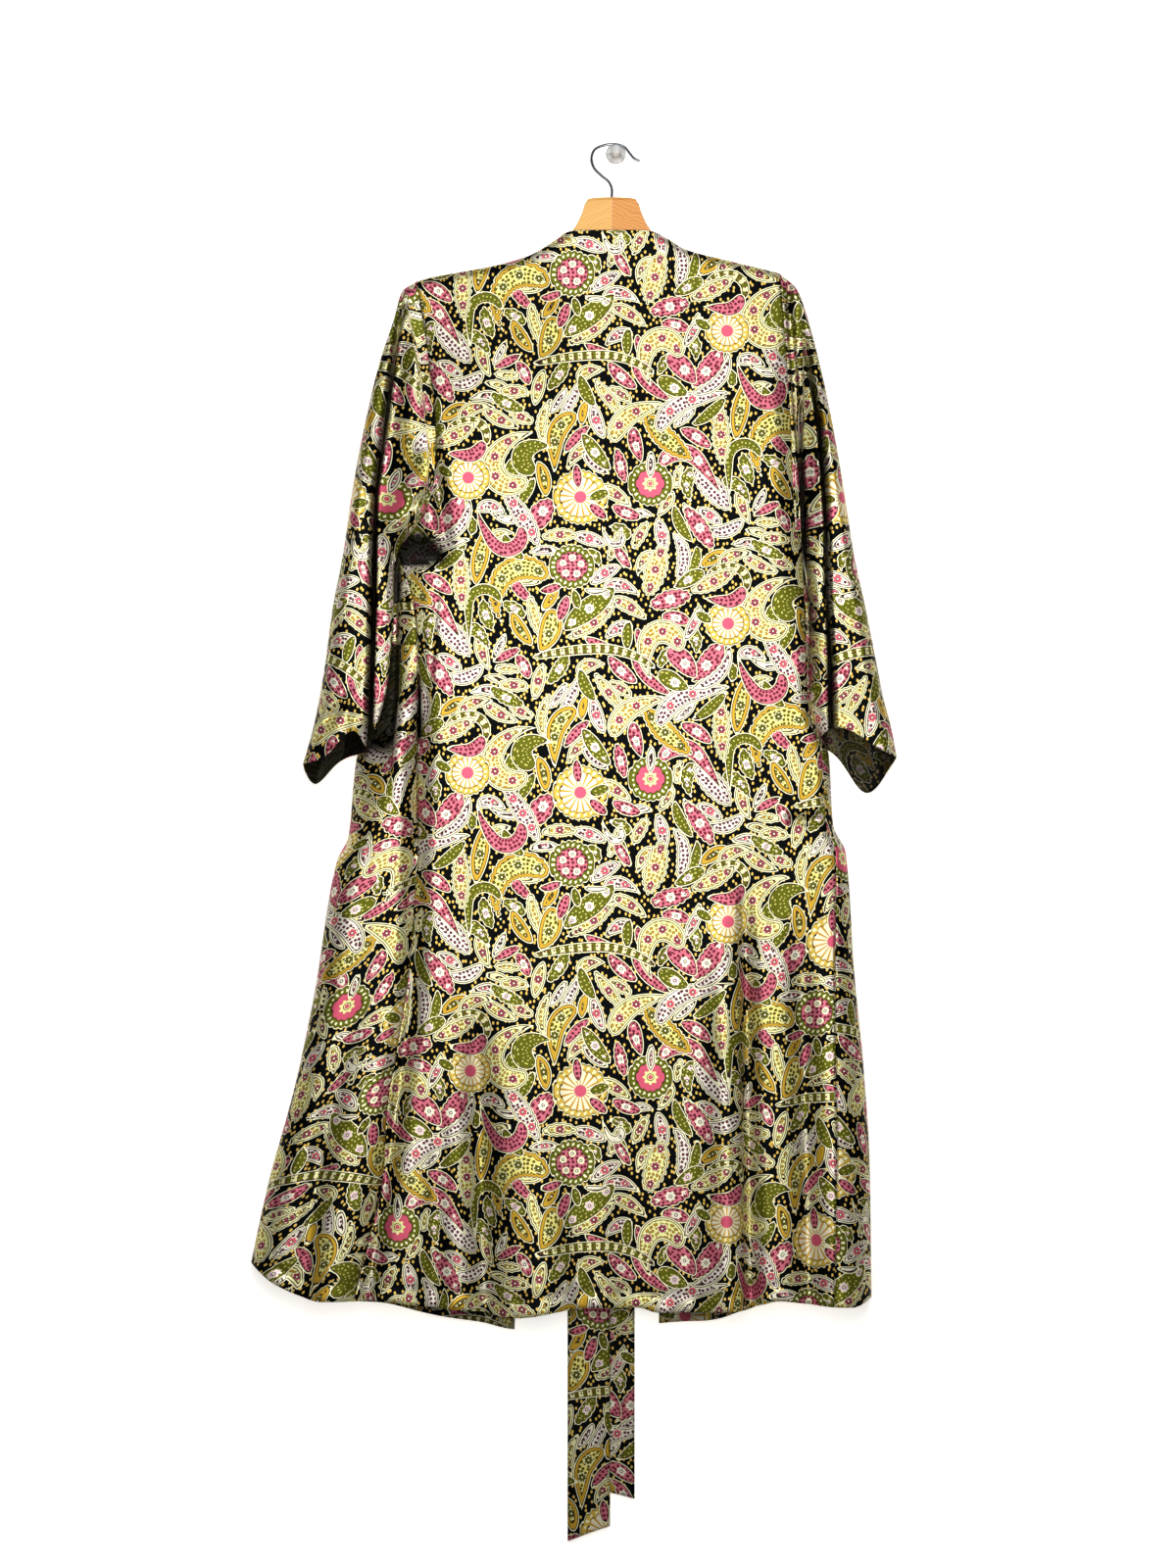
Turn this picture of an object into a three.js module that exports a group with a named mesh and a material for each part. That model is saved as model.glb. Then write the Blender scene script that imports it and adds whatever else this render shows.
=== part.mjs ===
// A long collarless dressing gown, hung by a wooden hanger on a small wall hook, its back outwards.
// Millimetres, +Z up. The wall is the plane y = 0 and the whole part stands out from it towards -Y.
// The origin is the middle of the wall hook's back face. "Left" is the wearer's left, towards -X.
import * as THREE from "three";

// ---- driving dimensions -------------------------------------------------------------------------
const CLOTH = 1.5;               // wall of the satin
const BELT_THICK = 2;            // the tie is a flat tube of two layers
const BELT_WIDTH = 50;
const GAP = 0.3;                 // clearance between neighbouring pieces
const UNDERARM_Z = -471;
const ARM_HALF = 6;              // half of the hanger's 12 mm of wood
const CROWN_HALF = 8.8;          // how far the cloth stands off the hanger's middle plane
const CROWN_DROP = 11;           // height over which the cloth rounds over the hanger
const HANGER_Y = -25;            // middle plane of the hanger at its neck
const HANGER_BOW = 5;            // how much nearer to the wall its tips are
const HANGER_REACH = 204;        // from the neck to a tip
const NECK_X = -5;               // middle of the neck
const NECK_LEFT = -68;           // ends of the shoulder seams at the neck
const NECK_RIGHT = 58;
const NECK_TURN = 14;            // length over which the neck edge comes forward of the hanger
const RING_STEPS = 120;          // points of a layer's section before it is divided into columns

// Crown line of the shoulders and the back neck edge.
const TOP = [
  { x: -262, z: -176 }, { x: -235, z: -154 }, { x: -194, z: -145 }, { x: -148, z: -137 },
  { x: -102, z: -124 }, { x: -79, z: -111 }, { x: -56, z: -97 }, { x: -42, z: -95 },
  { x: 31, z: -95 }, { x: 44, z: -97 }, { x: 60, z: -104 }, { x: 82, z: -117 },
  { x: 128, z: -129 }, { x: 174, z: -140 }, { x: 193, z: -145 }, { x: 222, z: -168 },
];

// Hem line of the back layer, and how much lower the fronts hang behind it.
const HEM = [
  { x: -429, z: -1311, drop: 0 }, { x: -396, z: -1336, drop: 2 }, { x: -344, z: -1354, drop: 3 },
  { x: -281, z: -1354, drop: 4 }, { x: -229, z: -1360, drop: 5 }, { x: -160, z: -1367, drop: 10 },
  { x: -120, z: -1373, drop: 14 }, { x: -33, z: -1363, drop: 14 }, { x: 24, z: -1363, drop: 14 },
  { x: 50, z: -1368, drop: 12 }, { x: 122, z: -1367, drop: 9 }, { x: 151, z: -1365, drop: 4 },
  { x: 191, z: -1355, drop: 4 }, { x: 231, z: -1360, drop: 4 }, { x: 277, z: -1362, drop: 3 },
  { x: 300, z: -1352, drop: 0 },
];

// Where the armholes run, from the shoulder (at 0) to the underarm (at 1). seam: the back's edge.
// edge: the outermost point of the body's section. wrap: how far the front's edge lies past that
// point, on the wall side when positive and round on the outer side when negative. soft: the
// length over which the outer layer rounds down to the edge.
const ARMHOLE_LEFT = [
  { at: 0, seam: -235, edge: -243, wrap: 8, soft: 9 },
  { at: 0.35, seam: -219, edge: -229, wrap: 10, soft: 14 },
  { at: 0.6, seam: -212, edge: -225, wrap: 12, soft: 20 },
  { at: 0.75, seam: -214, edge: -231, wrap: 11, soft: 26 },
  { at: 0.85, seam: -223, edge: -240, wrap: 8, soft: 32 },
  { at: 0.93, seam: -237, edge: -250, wrap: 4, soft: 38 },
  { at: 1, seam: -259, edge: -259, wrap: 0, soft: 45 },
];
const ARMHOLE_RIGHT = [
  { at: 0, seam: 193, edge: 201, wrap: 8, soft: 9 },
  { at: 0.35, seam: 202, edge: 209, wrap: 8, soft: 13 },
  { at: 0.6, seam: 206, edge: 213, wrap: 8, soft: 15 },
  { at: 0.8, seam: 208, edge: 215, wrap: 7, soft: 16 },
  { at: 0.93, seam: 211, edge: 217, wrap: 3, soft: 16 },
  { at: 1, seam: 219, edge: 219, wrap: 0, soft: 16 },
];

// Half outlines of the body below the underarm. seam: how far the side seam lies from the edge.
const SIDE_LEFT = [
  { z: -471, edge: -259, seam: 0, soft: 45 }, { z: -510, edge: -264, seam: 20, soft: 50 },
  { z: -540, edge: -268, seam: 32, soft: 55 },
  { z: -621, edge: -281, seam: 50, soft: 60 },
  { z: -713, edge: -307, seam: 74, soft: 60 },
  { z: -793, edge: -315, seam: 82, soft: 34 }, { z: -822, edge: -329, seam: 96, soft: 32 },
  { z: -966, edge: -354, seam: 108, soft: 30 }, { z: -1081, edge: -378, seam: 112, soft: 30 },
  { z: -1196, edge: -407, seam: 130, soft: 30 }, { z: -1311, edge: -429, seam: 122, soft: 30 },
];
const SIDE_RIGHT = [
  { z: -471, edge: 219, seam: 0, soft: 16 }, { z: -540, edge: 226, seam: 5, soft: 16 },
  { z: -640, edge: 229, seam: 5, soft: 16 }, { z: -679, edge: 237, seam: 7, soft: 16 },
  { z: -713, edge: 250, seam: 9, soft: 16 }, { z: -793, edge: 255, seam: 9, soft: 18 },
  { z: -826, edge: 270, seam: 13, soft: 20 }, { z: -966, edge: 280, seam: 24, soft: 24 },
  { z: -1081, edge: 291, seam: 34, soft: 26 }, { z: -1196, edge: 298, seam: 40, soft: 28 },
  { z: -1352, edge: 300, seam: 46, soft: 28 },
];

// Depth of the body at each height: y of the outer layer, of the wall-side layer, and of the two
// outermost points, where one layer turns into the other.
const DEPTH = [
  { z: -95, outer: -34, inner: -16, left: -22, right: -24 },
  { z: -300, outer: -48, inner: -15, left: -24, right: -28 },
  { z: -471, outer: -57, inner: -14, left: -31, right: -34 },
  { z: -600, outer: -60, inner: -14, left: -20, right: -36 },
  { z: -713, outer: -62, inner: -14, left: -21, right: -36 },
  { z: -860, outer: -62, inner: -14, left: -30, right: -36 },
  { z: -1100, outer: -64, inner: -14, left: -34, right: -36 },
  { z: -1380, outer: -70, inner: -16, left: -38, right: -38 },
];

// The largest folds: a straight run from its top to its foot, with its half width and its depth.
// A positive depth is a valley towards the wall, a negative one a ridge away from it.
const OUTER_FOLDS = [
  { topX: -164, topZ: -1060, footX: -156, footZ: -1400, width: 26, depth: 9 },
  { topX: -100, topZ: -900, footX: -92, footZ: -1400, width: 42, depth: -7 },
  { topX: 20, topZ: -1120, footX: 28, footZ: -1400, width: 34, depth: 6 },
  { topX: 122, topZ: -960, footX: 126, footZ: -1400, width: 26, depth: -8 },
  { topX: 160, topZ: -960, footX: 164, footZ: -1400, width: 18, depth: 14 },
  { topX: 220, topZ: -960, footX: 225, footZ: -1400, width: 20, depth: 7 },
  { topX: -232, topZ: -560, footX: -306, footZ: -1400, width: 16, depth: 6 },
  { topX: -260, topZ: -900, footX: -350, footZ: -1400, width: 30, depth: -7 },
];
const INNER_FOLDS = [
  { topX: -180, topZ: -760, footX: -200, footZ: -1400, width: 34, depth: -12 },
  { topX: -290, topZ: -960, footX: -330, footZ: -1400, width: 28, depth: -10 },
  { topX: 100, topZ: -760, footX: 110, footZ: -1400, width: 22, depth: -14 },
  { topX: 190, topZ: -820, footX: 205, footZ: -1400, width: 24, depth: -13 },
];
const LEFT_SLEEVE_FOLDS = [
  { topX: -256, topZ: -230, footX: -282, footZ: -760, width: 10, depth: 11 },
  { topX: -292, topZ: -420, footX: -330, footZ: -760, width: 16, depth: -5 },
];
const RIGHT_SLEEVE_FOLDS = [
  { topX: 214, topZ: -190, footX: 240, footZ: -560, width: 9, depth: 12 },
  { topX: 238, topZ: -300, footX: 254, footZ: -740, width: 9, depth: 12 },
];

// Stations down each sleeve: the outer and the inner point of its section, the y of its outer and
// wall-side layers, and the y at which they meet at the inner point.
const SLEEVE_LEFT = [
  { outX: -252, outZ: -166, inX: -264, inZ: -473, near: -42, far: -13, turn: -33 },
  { outX: -262, outZ: -200, inX: -269, inZ: -478, near: -52, far: -12, turn: -36 },
  { outX: -278, outZ: -250, inX: -272, inZ: -487, near: -60, far: -12, turn: -39 },
  { outX: -293, outZ: -315, inX: -273, inZ: -500, near: -66, far: -13, turn: -43 },
  { outX: -308, outZ: -395, inX: -273, inZ: -519, near: -71, far: -14, turn: -48 },
  { outX: -320, outZ: -477, inX: -272, inZ: -547, near: -74, far: -16, turn: -54 },
  { outX: -332, outZ: -540, inX: -271, inZ: -581, near: -76, far: -18, turn: -58 },
  { outX: -340, outZ: -600, inX: -269, inZ: -616, near: -77, far: -20, turn: -59 },
  { outX: -349, outZ: -655, inX: -274, inZ: -650, near: -77, far: -22, turn: -60 },
  { outX: -361, outZ: -704, inX: -284, inZ: -686, near: -76, far: -24, turn: -60 },
  { outX: -367, outZ: -724, inX: -292, inZ: -711, near: -76, far: -25, turn: -61 },
];
const SLEEVE_RIGHT = [
  { outX: 213, outZ: -163, inX: 225, inZ: -474, near: -42, far: -13, turn: -32 },
  { outX: 224, outZ: -192, inX: 229, inZ: -479, near: -50, far: -10, turn: -31 },
  { outX: 238, outZ: -245, inX: 231, inZ: -489, near: -56, far: -8, turn: -30 },
  { outX: 251, outZ: -305, inX: 232, inZ: -503, near: -60, far: -7, turn: -29 },
  { outX: 266, outZ: -390, inX: 233, inZ: -523, near: -64, far: -6, turn: -28 },
  { outX: 280, outZ: -480, inX: 234, inZ: -549, near: -66, far: -6, turn: -27 },
  { outX: 293, outZ: -540, inX: 235, inZ: -579, near: -67, far: -6, turn: -26 },
  { outX: 304, outZ: -595, inX: 236, inZ: -609, near: -67, far: -6, turn: -26 },
  { outX: 314, outZ: -645, inX: 243, inZ: -636, near: -66, far: -6, turn: -26 },
  { outX: 323, outZ: -676, inX: 253, inZ: -651, near: -65, far: -6, turn: -26 },
  { outX: 330, outZ: -703, inX: 258, inZ: -667, near: -64, far: -6, turn: -26 },
];
// The cuffs are cut aslant: the wall-side half hangs lower (lag), most at lagAt across the cuff, and
// the outer half is drawn up (rise), most at riseAt. They start from the station CUFF_FROM.
const CUFF_LEFT = { lag: 26, lagAt: 0.15, rise: 26, riseAt: 0.76, laps: 1 };
const CUFF_RIGHT = { lag: 60, lagAt: 0.5, rise: 0, riseAt: 0.5, laps: 0 };
const CUFF_FROM = 5;
const SLEEVE_SETTLES = 5;        // stations over which the armhole's shape gives way to the sleeve's

// The hanger's wood: its top by the distance from the neck, until it meets the shoulder line, and how
// far it lies under the cloth from there on.
const HANGER_NECK = [
  { from: 0, top: -55.5 }, { from: 18, top: -56 }, { from: 28, top: -57.5 }, { from: 32, top: -64 },
  { from: 35, top: -74 }, { from: 41, top: -87 }, { from: 46, top: -94.5 }, { from: 51, top: -103 },
  { from: 64, top: -107 },
];
const HANGER_UNDER_CLOTH = 2.4;
const HANGER_DEPTHS = { neck: 38, tip: 24, bevel: 3.5 };
const HANGER_TIP = { length: 20, drop: 9 };
const HANGER_STATIONS = [
  0, 10, 20, 28, 32, 35, 41, 46, 51, 64, 72, 80, 88, 96, 106, 118, 132, 148, 164, 180, 194, 204,
];

// The steel hook's middle line, from the wood up and over the peg.
const HOOK_LINE = [
  { x: -5, z: -55 }, { x: -5, z: -45 }, { x: -8.5, z: -37 }, { x: -17.5, z: -29.5 },
  { x: -26, z: -20.5 }, { x: -29, z: -10 }, { x: -25.5, z: 0.5 }, { x: -15, z: 5.9 }, { x: 0, z: 7.2 },
  { x: 10, z: 4 }, { x: 16, z: -3 }, { x: 21, z: -9 }, { x: 28, z: -12.5 },
];
const HOOK_RADIUS = 1.7;
const HOOK_SIDES = 10;
const HOOK_STEPS = 48;

// Wall hook: a lathe profile round the peg's axis, from the wall outwards.
const PEG_PROFILE = [
  { radius: 0, out: 0 }, { radius: 12, out: 0 }, { radius: 12, out: 2 }, { radius: 11, out: 3 },
  { radius: 6, out: 3.4 }, { radius: 5, out: 5 }, { radius: 5, out: 29 }, { radius: 6, out: 30.5 },
  { radius: 6, out: 32.5 }, { radius: 4.5, out: 34 }, { radius: 0, out: 34.5 },
];
const PEG_SIDES = 32;

// The ties: sewn into the side seams at the waist, tied loosely between the fronts' edges.
const TIE_STANDOFF = CLOTH / 2 + GAP + BELT_THICK / 2;
const TIE_PINCH = 0.64;          // a tie's width where it enters the knot, as a share of its own
const KNOT = { x: -18, y: -13, z: -566, halfX: 22, halfY: 9, halfZ: 27, squareness: 0.55 };
const TIE_ENDS = [
  { name: "belt_end_left", topX: -27, footX: -32, y: -17, foot: -1633, slant: 9, sway: 3 },
  { name: "belt_end_right", topX: -10, footX: -3, y: -10.5, foot: -1587, slant: -6, sway: 2 },
];
const TIE_END_ROWS = 22;

// Rows of the body's grid: fractions from shoulder to underarm, then from there to the hem. The ties
// lie between the rows TIE_ROWS.
const UPPER_ROWS = [0, 0.004, 0.015, 0.045, 0.12, 0.24, 0.37, 0.5, 0.62, 0.74, 0.84, 0.93, 1];
const LOWER_ROWS = [0.033, 0.072, 0.128, 0.2, 0.275, 0.36, 0.44, 0.54, 0.65, 0.765, 0.885, 1];
const TIE_ROWS = [UPPER_ROWS.length + 1, UPPER_ROWS.length + 2];
const FLAT_COLUMNS = 6;           // a front's columns on the wall side
const TURN_COLUMNS = 3;          // from its side seam to the edge of the body, and again past it
const TURN_REACH = 34;           // how far past the edge those reach
const TOP_COLUMNS = FLAT_COLUMNS + 2 * TURN_COLUMNS;
const NECK_COLUMNS = 6;

// ---- small mathematics --------------------------------------------------------------------------
const mix = (a, b, t) => a + (b - a) * t;
const clamp01 = (t) => Math.min(1, Math.max(0, t));
const ease = (t) => clamp01(t) ** 2 * (3 - 2 * clamp01(t));
const quarterRound = (t) => Math.sqrt(Math.max(0, 1 - (1 - clamp01(t)) ** 2));

// Smooth value of one column of a table, without overshoot between its rows.
function lookup(table, key, at, column) {
  const sign = Math.sign(table[table.length - 1][key] - table[0][key]);
  const first = table[0];
  const last = table[table.length - 1];
  if ((at - first[key]) * sign <= 0) return first[column];
  if ((at - last[key]) * sign >= 0) return last[column];
  let i = 0;
  while ((at - table[i + 1][key]) * sign > 0) i += 1;
  const rate = (a) => (a < 0 || a >= table.length - 1
    ? 0 : (table[a + 1][column] - table[a][column]) / (table[a + 1][key] - table[a][key]));
  const slope = (a) => (rate(a - 1) * rate(a) <= 0 ? 0
    : (2 * rate(a - 1) * rate(a)) / (rate(a - 1) + rate(a)));
  const span = table[i + 1][key] - table[i][key];
  const t = (at - table[i][key]) / span;
  const startSlope = i === 0 ? rate(0) : slope(i);
  const endSlope = i + 1 === table.length - 1 ? rate(i) : slope(i + 1);
  return (2 * t ** 3 - 3 * t ** 2 + 1) * table[i][column] + (t ** 3 - 2 * t ** 2 + t) * span * startSlope
    + (3 * t ** 2 - 2 * t ** 3) * table[i + 1][column] + (t ** 3 - t ** 2) * span * endSlope;
}

// Depth of all folds of a table at one place. Each fades in over the first third of its length.
function foldDepth(folds, x, z) {
  let depth = 0;
  for (const fold of folds) {
    const along = (fold.topZ - z) / (fold.topZ - fold.footZ);
    const off = (x - mix(fold.topX, fold.footX, along)) / fold.width;
    depth += fold.depth * ease(along * 3) * ease((1.25 - along) * 6) * Math.exp(-off * off);
  }
  return depth;
}

// ---- sections of the body -----------------------------------------------------------------------
const hangerY = (x) => HANGER_Y + HANGER_BOW * clamp01(Math.abs(x - NECK_X) / HANGER_REACH) ** 2;

// Height of a row at x: between the shoulder line and the underarm, or the underarm and the hem.
function rowHeight(row, x, layer) {
  if (row.upper) return mix(lookup(TOP, "x", x, "z"), UNDERARM_Z, row.at);
  const drop = layer === "inner" ? lookup(HEM, "x", x, "drop") : 0;
  return mix(UNDERARM_Z, lookup(HEM, "x", x, "z") - drop, row.at);
}

// Values of a row at one side of the body.
function rowSide(row, side) {
  const armhole = side === "left" ? ARMHOLE_LEFT : ARMHOLE_RIGHT;
  const table = side === "left" ? SIDE_LEFT : SIDE_RIGHT;
  if (row.upper) {
    const value = (column) => lookup(armhole, "at", row.at, column);
    return { edge: value("edge"), soft: value("soft"), seam: Math.abs(value("seam") - value("edge")),
      wrap: value("wrap") };
  }
  const z = mix(UNDERARM_Z, table[table.length - 1].z, row.at);
  const value = (column) => lookup(table, "z", z, column);
  return { edge: value("edge"), soft: value("soft"), seam: value("seam"), wrap: -value("seam") };
}

// Point of the outer or the wall-side layer of a row at x.
function layerPoint(row, layer, x) {
  const z = rowHeight(row, x, layer);
  const fall = row.upper ? lookup(TOP, "x", x, "z") - z : 500;
  const outward = layer === "outer" ? -1 : 1;
  const open = ease(Math.min(x - NECK_LEFT, NECK_RIGHT - x) / NECK_TURN);
  const crown = Math.max(quarterRound(fall / CROWN_DROP), layer === "outer" ? open : 0);
  const overHanger = hangerY(x) + outward * CROWN_HALF * crown;
  const hanging = lookup(DEPTH, "z", z, layer)
    + foldDepth(layer === "outer" ? OUTER_FOLDS : INNER_FOLDS, x, z);
  let y = mix(overHanger, hanging, ease(fall / 200));
  for (const side of ["left", "right"]) {
    const { edge, soft } = rowSide(row, side);
    const reach = layer === "outer" ? soft : 14;
    const turn = mix(hangerY(x), lookup(DEPTH, "z", z, side), ease(fall / 200));
    y = mix(turn, y, quarterRound(Math.abs(x - edge) / reach));
  }
  return new THREE.Vector3(x, y, z);
}

// A run of points along one layer between two x, closer together near the ends.
function layerRun(row, layer, from, to) {
  const points = [];
  for (let i = 0; i <= RING_STEPS; i += 1) {
    const t = (1 - Math.cos((Math.PI * i) / RING_STEPS)) / 2;
    points.push(layerPoint(row, layer, mix(from, to, t)));
  }
  return points;
}

const runLength = (points) => points.slice(1).reduce((sum, p, i) => sum + p.distanceTo(points[i]), 0);

// Divides a run of points at given fractions of its length.
function divide(points, fractions) {
  const lengths = [0];
  for (let i = 1; i < points.length; i += 1) {
    lengths.push(lengths[i - 1] + points[i].distanceTo(points[i - 1]));
  }
  const total = lengths[lengths.length - 1];
  let i = 0;
  return fractions.map((fraction) => {
    const target = fraction * total;
    while (i < points.length - 2 && lengths[i + 1] < target) i += 1;
    const t = (target - lengths[i]) / (lengths[i + 1] - lengths[i] || 1);
    return points[i].clone().lerp(points[i + 1], clamp01(t));
  });
}

const steps = (count) => Array.from({ length: count + 1 }, (_, i) => i / count);

const ROWS = [
  ...UPPER_ROWS.map((at) => ({ upper: true, at })),
  ...LOWER_ROWS.map((at) => ({ upper: false, at })),
];

// Fractions of the back's columns: the shoulder seams and the neck edge at the top set them.
const BACK_FRACTIONS = (() => {
  const from = ARMHOLE_LEFT[0].seam;
  const width = ARMHOLE_RIGHT[0].seam - from;
  const corners = [from, NECK_LEFT, NECK_RIGHT, ARMHOLE_RIGHT[0].seam];
  const counts = [TOP_COLUMNS, NECK_COLUMNS, TOP_COLUMNS];
  const fractions = [0];
  counts.forEach((count, part) => {
    for (const t of steps(count).slice(1)) {
      fractions.push((mix(corners[part], corners[part + 1], t) - from) / width);
    }
  });
  return fractions;
})();

// The shoulder seams are divided by x, so that back and front have the same points there.
function backRow(row) {
  const left = rowSide(row, "left");
  const right = rowSide(row, "right");
  const from = left.edge + left.seam;
  const to = right.edge - right.seam;
  if (row.upper && row.at === 0) {
    return BACK_FRACTIONS.map((t) => layerPoint(row, "outer", mix(from, to, t)));
  }
  return divide(layerRun(row, "outer", from, to), BACK_FRACTIONS);
}

// x of a front's free edge: a slanting neckline, then nearly straight down to the hem.
const FRONT_EDGES = {
  left: [{ z: -97, x: NECK_LEFT }, { z: -250, x: -70 }, { z: -600, x: -78 }, { z: -1387, x: -120 }],
  right: [{ z: -97, x: NECK_RIGHT }, { z: -250, x: 52 }, { z: -600, x: 44 }, { z: -1387, x: 51 }],
};

function frontEdge(row, side) {
  const z = row.upper ? mix(-97, UNDERARM_Z, row.at) : mix(UNDERARM_Z, -1387, row.at);
  return lookup(FRONT_EDGES[side], "z", z, "x");
}

// A front's row: from its armhole or side seam, round the edge of the body, to its free edge.
function frontRow(row, side) {
  if (row.upper && row.at === 0) {
    const from = side === "left" ? ARMHOLE_LEFT[0].seam : ARMHOLE_RIGHT[0].seam;
    const to = side === "left" ? NECK_LEFT : NECK_RIGHT;
    return steps(TOP_COLUMNS).map((t) => layerPoint(row, "inner", mix(from, to, t)));
  }
  const toX = frontEdge(row, side);
  const { edge, wrap } = rowSide(row, side);
  const inward = Math.sign(toX - edge);
  if (wrap >= 0) {
    const run = layerRun(row, "inner", edge + inward * wrap, toX);
    const share = mix(2 * TURN_COLUMNS / TOP_COLUMNS, TURN_REACH / runLength(run), ease(row.at));
    return divide(run, [
      ...steps(2 * TURN_COLUMNS).map((t) => t * share),
      ...steps(FLAT_COLUMNS).slice(1).map((t) => mix(share, 1, t)),
    ]);
  }
  const turnX = edge + inward * TURN_REACH;
  return [
    ...divide(layerRun(row, "outer", edge - inward * wrap, edge), steps(TURN_COLUMNS)),
    ...divide(layerRun(row, "inner", edge, turnX), steps(TURN_COLUMNS)).slice(1),
    ...divide(layerRun(row, "inner", turnX, toX), steps(FLAT_COLUMNS)).slice(1),
  ];
}

// ---- sleeves ------------------------------------------------------------------------------------
// The armhole as a loop: down the back's edge from the shoulder, then up the front's edge.
function armhole(backGrid, frontGrid, side) {
  const count = UPPER_ROWS.length;
  const column = side === "left" ? 0 : backGrid[0].length - 1;
  const down = backGrid.slice(0, count).map((row) => row[column]);
  const up = frontGrid.slice(1, count - 1).map((row) => row[0]).reverse();
  return [...down, ...up];
}

function sleeveGrid(loop, stations, cuff, folds) {
  const half = UPPER_ROWS.length - 1;
  const start = loop[0];
  const end = loop[half];
  const chord = new THREE.Vector3(end.x - start.x, 0, end.z - start.z);
  const across = new THREE.Vector3(-chord.z, 0, chord.x).normalize();
  const grid = [loop];
  stations.forEach((station, k) => {
    const settle = ease((k + 1) / SLEEVE_SETTLES);
    const toCuff = clamp01((k - CUFF_FROM) / (stations.length - 1 - CUFF_FROM)) ** 1.6;
    grid.push(loop.map((point, i) => {
      const far = i > half;
      const own = point.clone().sub(start);
      const c = mix(own.dot(chord) / chord.lengthSq(), UPPER_ROWS[far ? 2 * half - i : i], settle);
      const off = own.dot(across) * (1 - settle);
      const x = mix(station.outX, station.inX, c) + across.x * off;
      const z = mix(station.outZ, station.inZ, c) + across.z * off;
      const rolled = quarterRound((1 - c) / 0.2);
      const inner = far ? mix(rolled, ease((1 - c) / 0.45), cuff.laps * ease((k - 2) / 4)) : rolled;
      const round = quarterRound(c / 0.2) * inner;
      const turn = mix((station.near + station.far) / 2, station.turn, c);
      const crest = far ? station.far : station.near + foldDepth(folds, x, z);
      const y = mix(point.y, mix(turn, crest, round), settle);
      const bump = (at) => Math.exp(-(((c - at) / 0.3) ** 2)) * round;
      const shift = far ? -cuff.lag * bump(cuff.lagAt) : cuff.rise * bump(cuff.riseAt);
      return new THREE.Vector3(x, y, z + shift * toCuff);
    }));
  });
  return grid;
}

// ---- cloth as a wall ----------------------------------------------------------------------------
// Normals of a grid of points, pointing to the side given by sign. A ring grid closes on itself.
function gridNormals(grid, ring, sign) {
  const last = grid.length - 1;
  return grid.map((row, i) => row.map((_, j) => {
    const width = row.length;
    const before = ring ? (j + width - 1) % width : Math.max(0, j - 1);
    const after = ring ? (j + 1) % width : Math.min(width - 1, j + 1);
    const down = grid[Math.min(last, i + 1)][j].clone().sub(grid[Math.max(0, i - 1)][j]);
    const along = grid[i][after].clone().sub(grid[i][before]);
    return down.cross(along).multiplyScalar(sign).normalize();
  }));
}

const SLEEVE_WEIGHT = 1.75;

const pointKey = (p) => [p.x, p.y, p.z].map((v) => v.toFixed(3)).join(" ");

// Panels that meet share one normal at each point of their seam, which mitres their cut edges. At the
// shoulder and the underarm a sleeve meets both back and front, so its own normal counts for more.
function shareSeamNormals(panels) {
  const sums = new Map();
  const half = UPPER_ROWS.length - 1;
  const each = (visit) => panels.forEach((panel) => panel.grid.forEach((row, i) => row.forEach(
    (point, j) => visit(pointKey(point), panel.normals[i][j], panel.ring && j % half === 0 ? SLEEVE_WEIGHT : 1),
  )));
  each((key, normal, weight) => {
    sums.set(key, (sums.get(key) || new THREE.Vector3()).addScaledVector(normal, weight));
  });
  each((key, normal) => normal.copy(sums.get(key)).normalize());
}

// Draws the seamed sides of a grid back by half of the seam's gap, square to the seam.
function trimmed(panel) {
  const { grid, normals, ring, seams } = panel;
  const last = grid.length - 1;
  const end = grid[0].length - 1;
  const wrap = (j) => (ring ? (j + end + 1) % (end + 1) : Math.min(end, Math.max(0, j)));
  return grid.map((row, i) => row.map((point, j) => {
    const moved = point.clone();
    const pull = (inside, before, after) => {
      const along = after.clone().sub(before).normalize();
      const toward = inside.clone().sub(point);
      toward.addScaledVector(normals[i][j], -toward.dot(normals[i][j]));
      toward.addScaledVector(along, -toward.dot(along));
      moved.add(toward.setLength(GAP / 2));
    };
    if (i === 0 && seams.top && seams.top(j)) pull(grid[1][j], row[wrap(j - 1)], row[wrap(j + 1)]);
    if (j === 0 && seams.first) pull(row[1], grid[Math.max(0, i - 1)][0], grid[Math.min(last, i + 1)][0]);
    if (j === end && seams.last) {
      pull(row[end - 1], grid[Math.max(0, i - 1)][end], grid[Math.min(last, i + 1)][end]);
    }
    return moved;
  }));
}

function meshFrom(name, positions, indices, material) {
  const geometry = new THREE.BufferGeometry();
  geometry.setAttribute("position", new THREE.Float32BufferAttribute(positions, 3));
  geometry.setIndex(indices);
  geometry.computeVertexNormals();
  const mesh = new THREE.Mesh(geometry, material);
  mesh.name = name;
  return mesh;
}

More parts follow.
